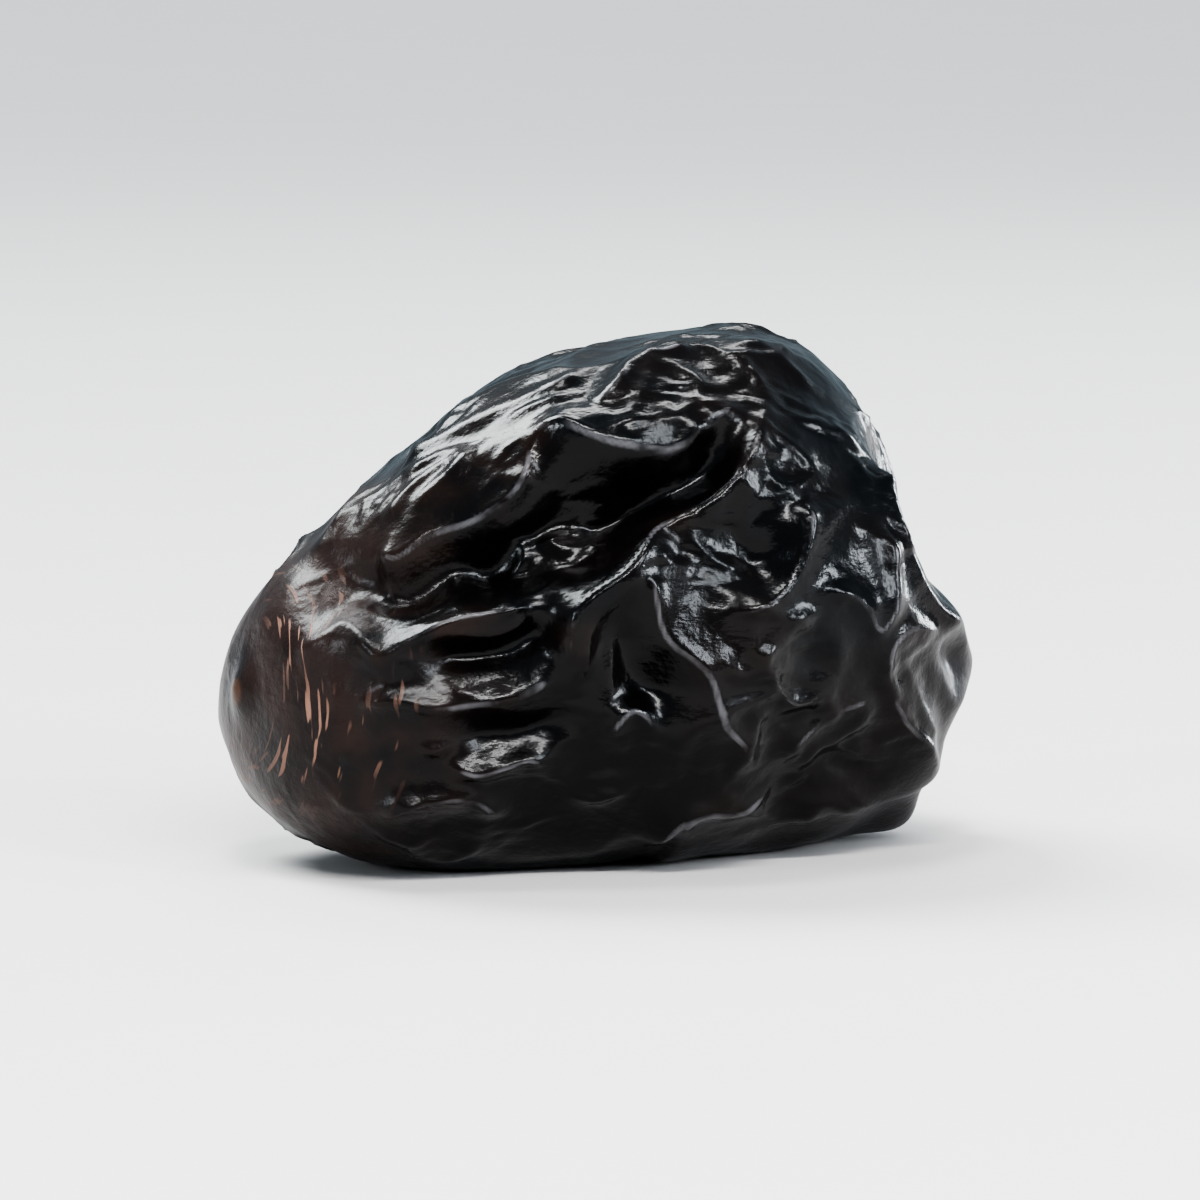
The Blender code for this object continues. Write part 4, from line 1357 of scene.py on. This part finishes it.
# %% The window and the sky
SUN_POWER = 4.6
SUN_WIDTH = 30.0
SUN_COLOUR = (0.94, 0.99, 1.0)
SKY_COLOUR = (0.72, 0.89, 1.0, 1.0)
SKY_STRENGTH = 0.45

sun = bpy.data.lights.new("sky_window", "SUN")
sun.energy = SUN_POWER
sun.angle = math.radians(SUN_WIDTH)
sun.color = SUN_COLOUR
sun_lamp = bpy.data.objects.new("sky_window", sun)
sun_lamp.rotation_mode = "QUATERNION"
sun_lamp.rotation_quaternion = direction(CAMERA_AZIMUTH - 128.0, 50.0).to_track_quat("Z", "Y")
bpy.context.scene.collection.objects.link(sun_lamp)
world = bpy.data.worlds.new("studio_sky")
bpy.context.scene.world = world
world.use_nodes = True
sky = world.node_tree.nodes["Background"]
sky.inputs["Color"].default_value = SKY_COLOUR
sky.inputs["Strength"].default_value = SKY_STRENGTH
bpy.context.scene.view_settings.look = "AgX - High Contrast"
print("window:", SUN_WIDTH, "degrees wide, sky strength", SKY_STRENGTH)

# %% [markdown]
# ## The camera
#
# The camera looks from a little towards the tip's side and only slightly from above. A long lens
# from further away keeps the fruit's proportions, as a wide one near it would swell its middle.

# %% The camera
CAMERA_ELEVATION = 7.0
CAMERA_LENS = 180.0
SENSOR = 36.0
FRUIT_SHARE = 0.64

frame_width = (packed_box[1][0] - packed_box[0][0]) / FRUIT_SHARE
camera_data = bpy.data.cameras.new("camera")
camera_data.lens = CAMERA_LENS
camera_data.sensor_width = SENSOR
camera_data.clip_start = 0.01
camera = bpy.data.objects.new("camera", camera_data)
sight = direction(CAMERA_AZIMUTH, CAMERA_ELEVATION)
camera.location = MIDDLE + sight * frame_width * CAMERA_LENS / SENSOR
camera.rotation_mode = "QUATERNION"
camera.rotation_quaternion = sight.to_track_quat("Z", "Y")
bpy.context.scene.collection.objects.link(camera)
bpy.context.scene.camera = camera
print("camera:", round((camera.location - MIDDLE).length, 3), "m away")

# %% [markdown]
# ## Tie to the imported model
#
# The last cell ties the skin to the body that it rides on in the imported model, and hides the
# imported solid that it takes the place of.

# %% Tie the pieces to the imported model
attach(skin, "root")
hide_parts("date_fruit")
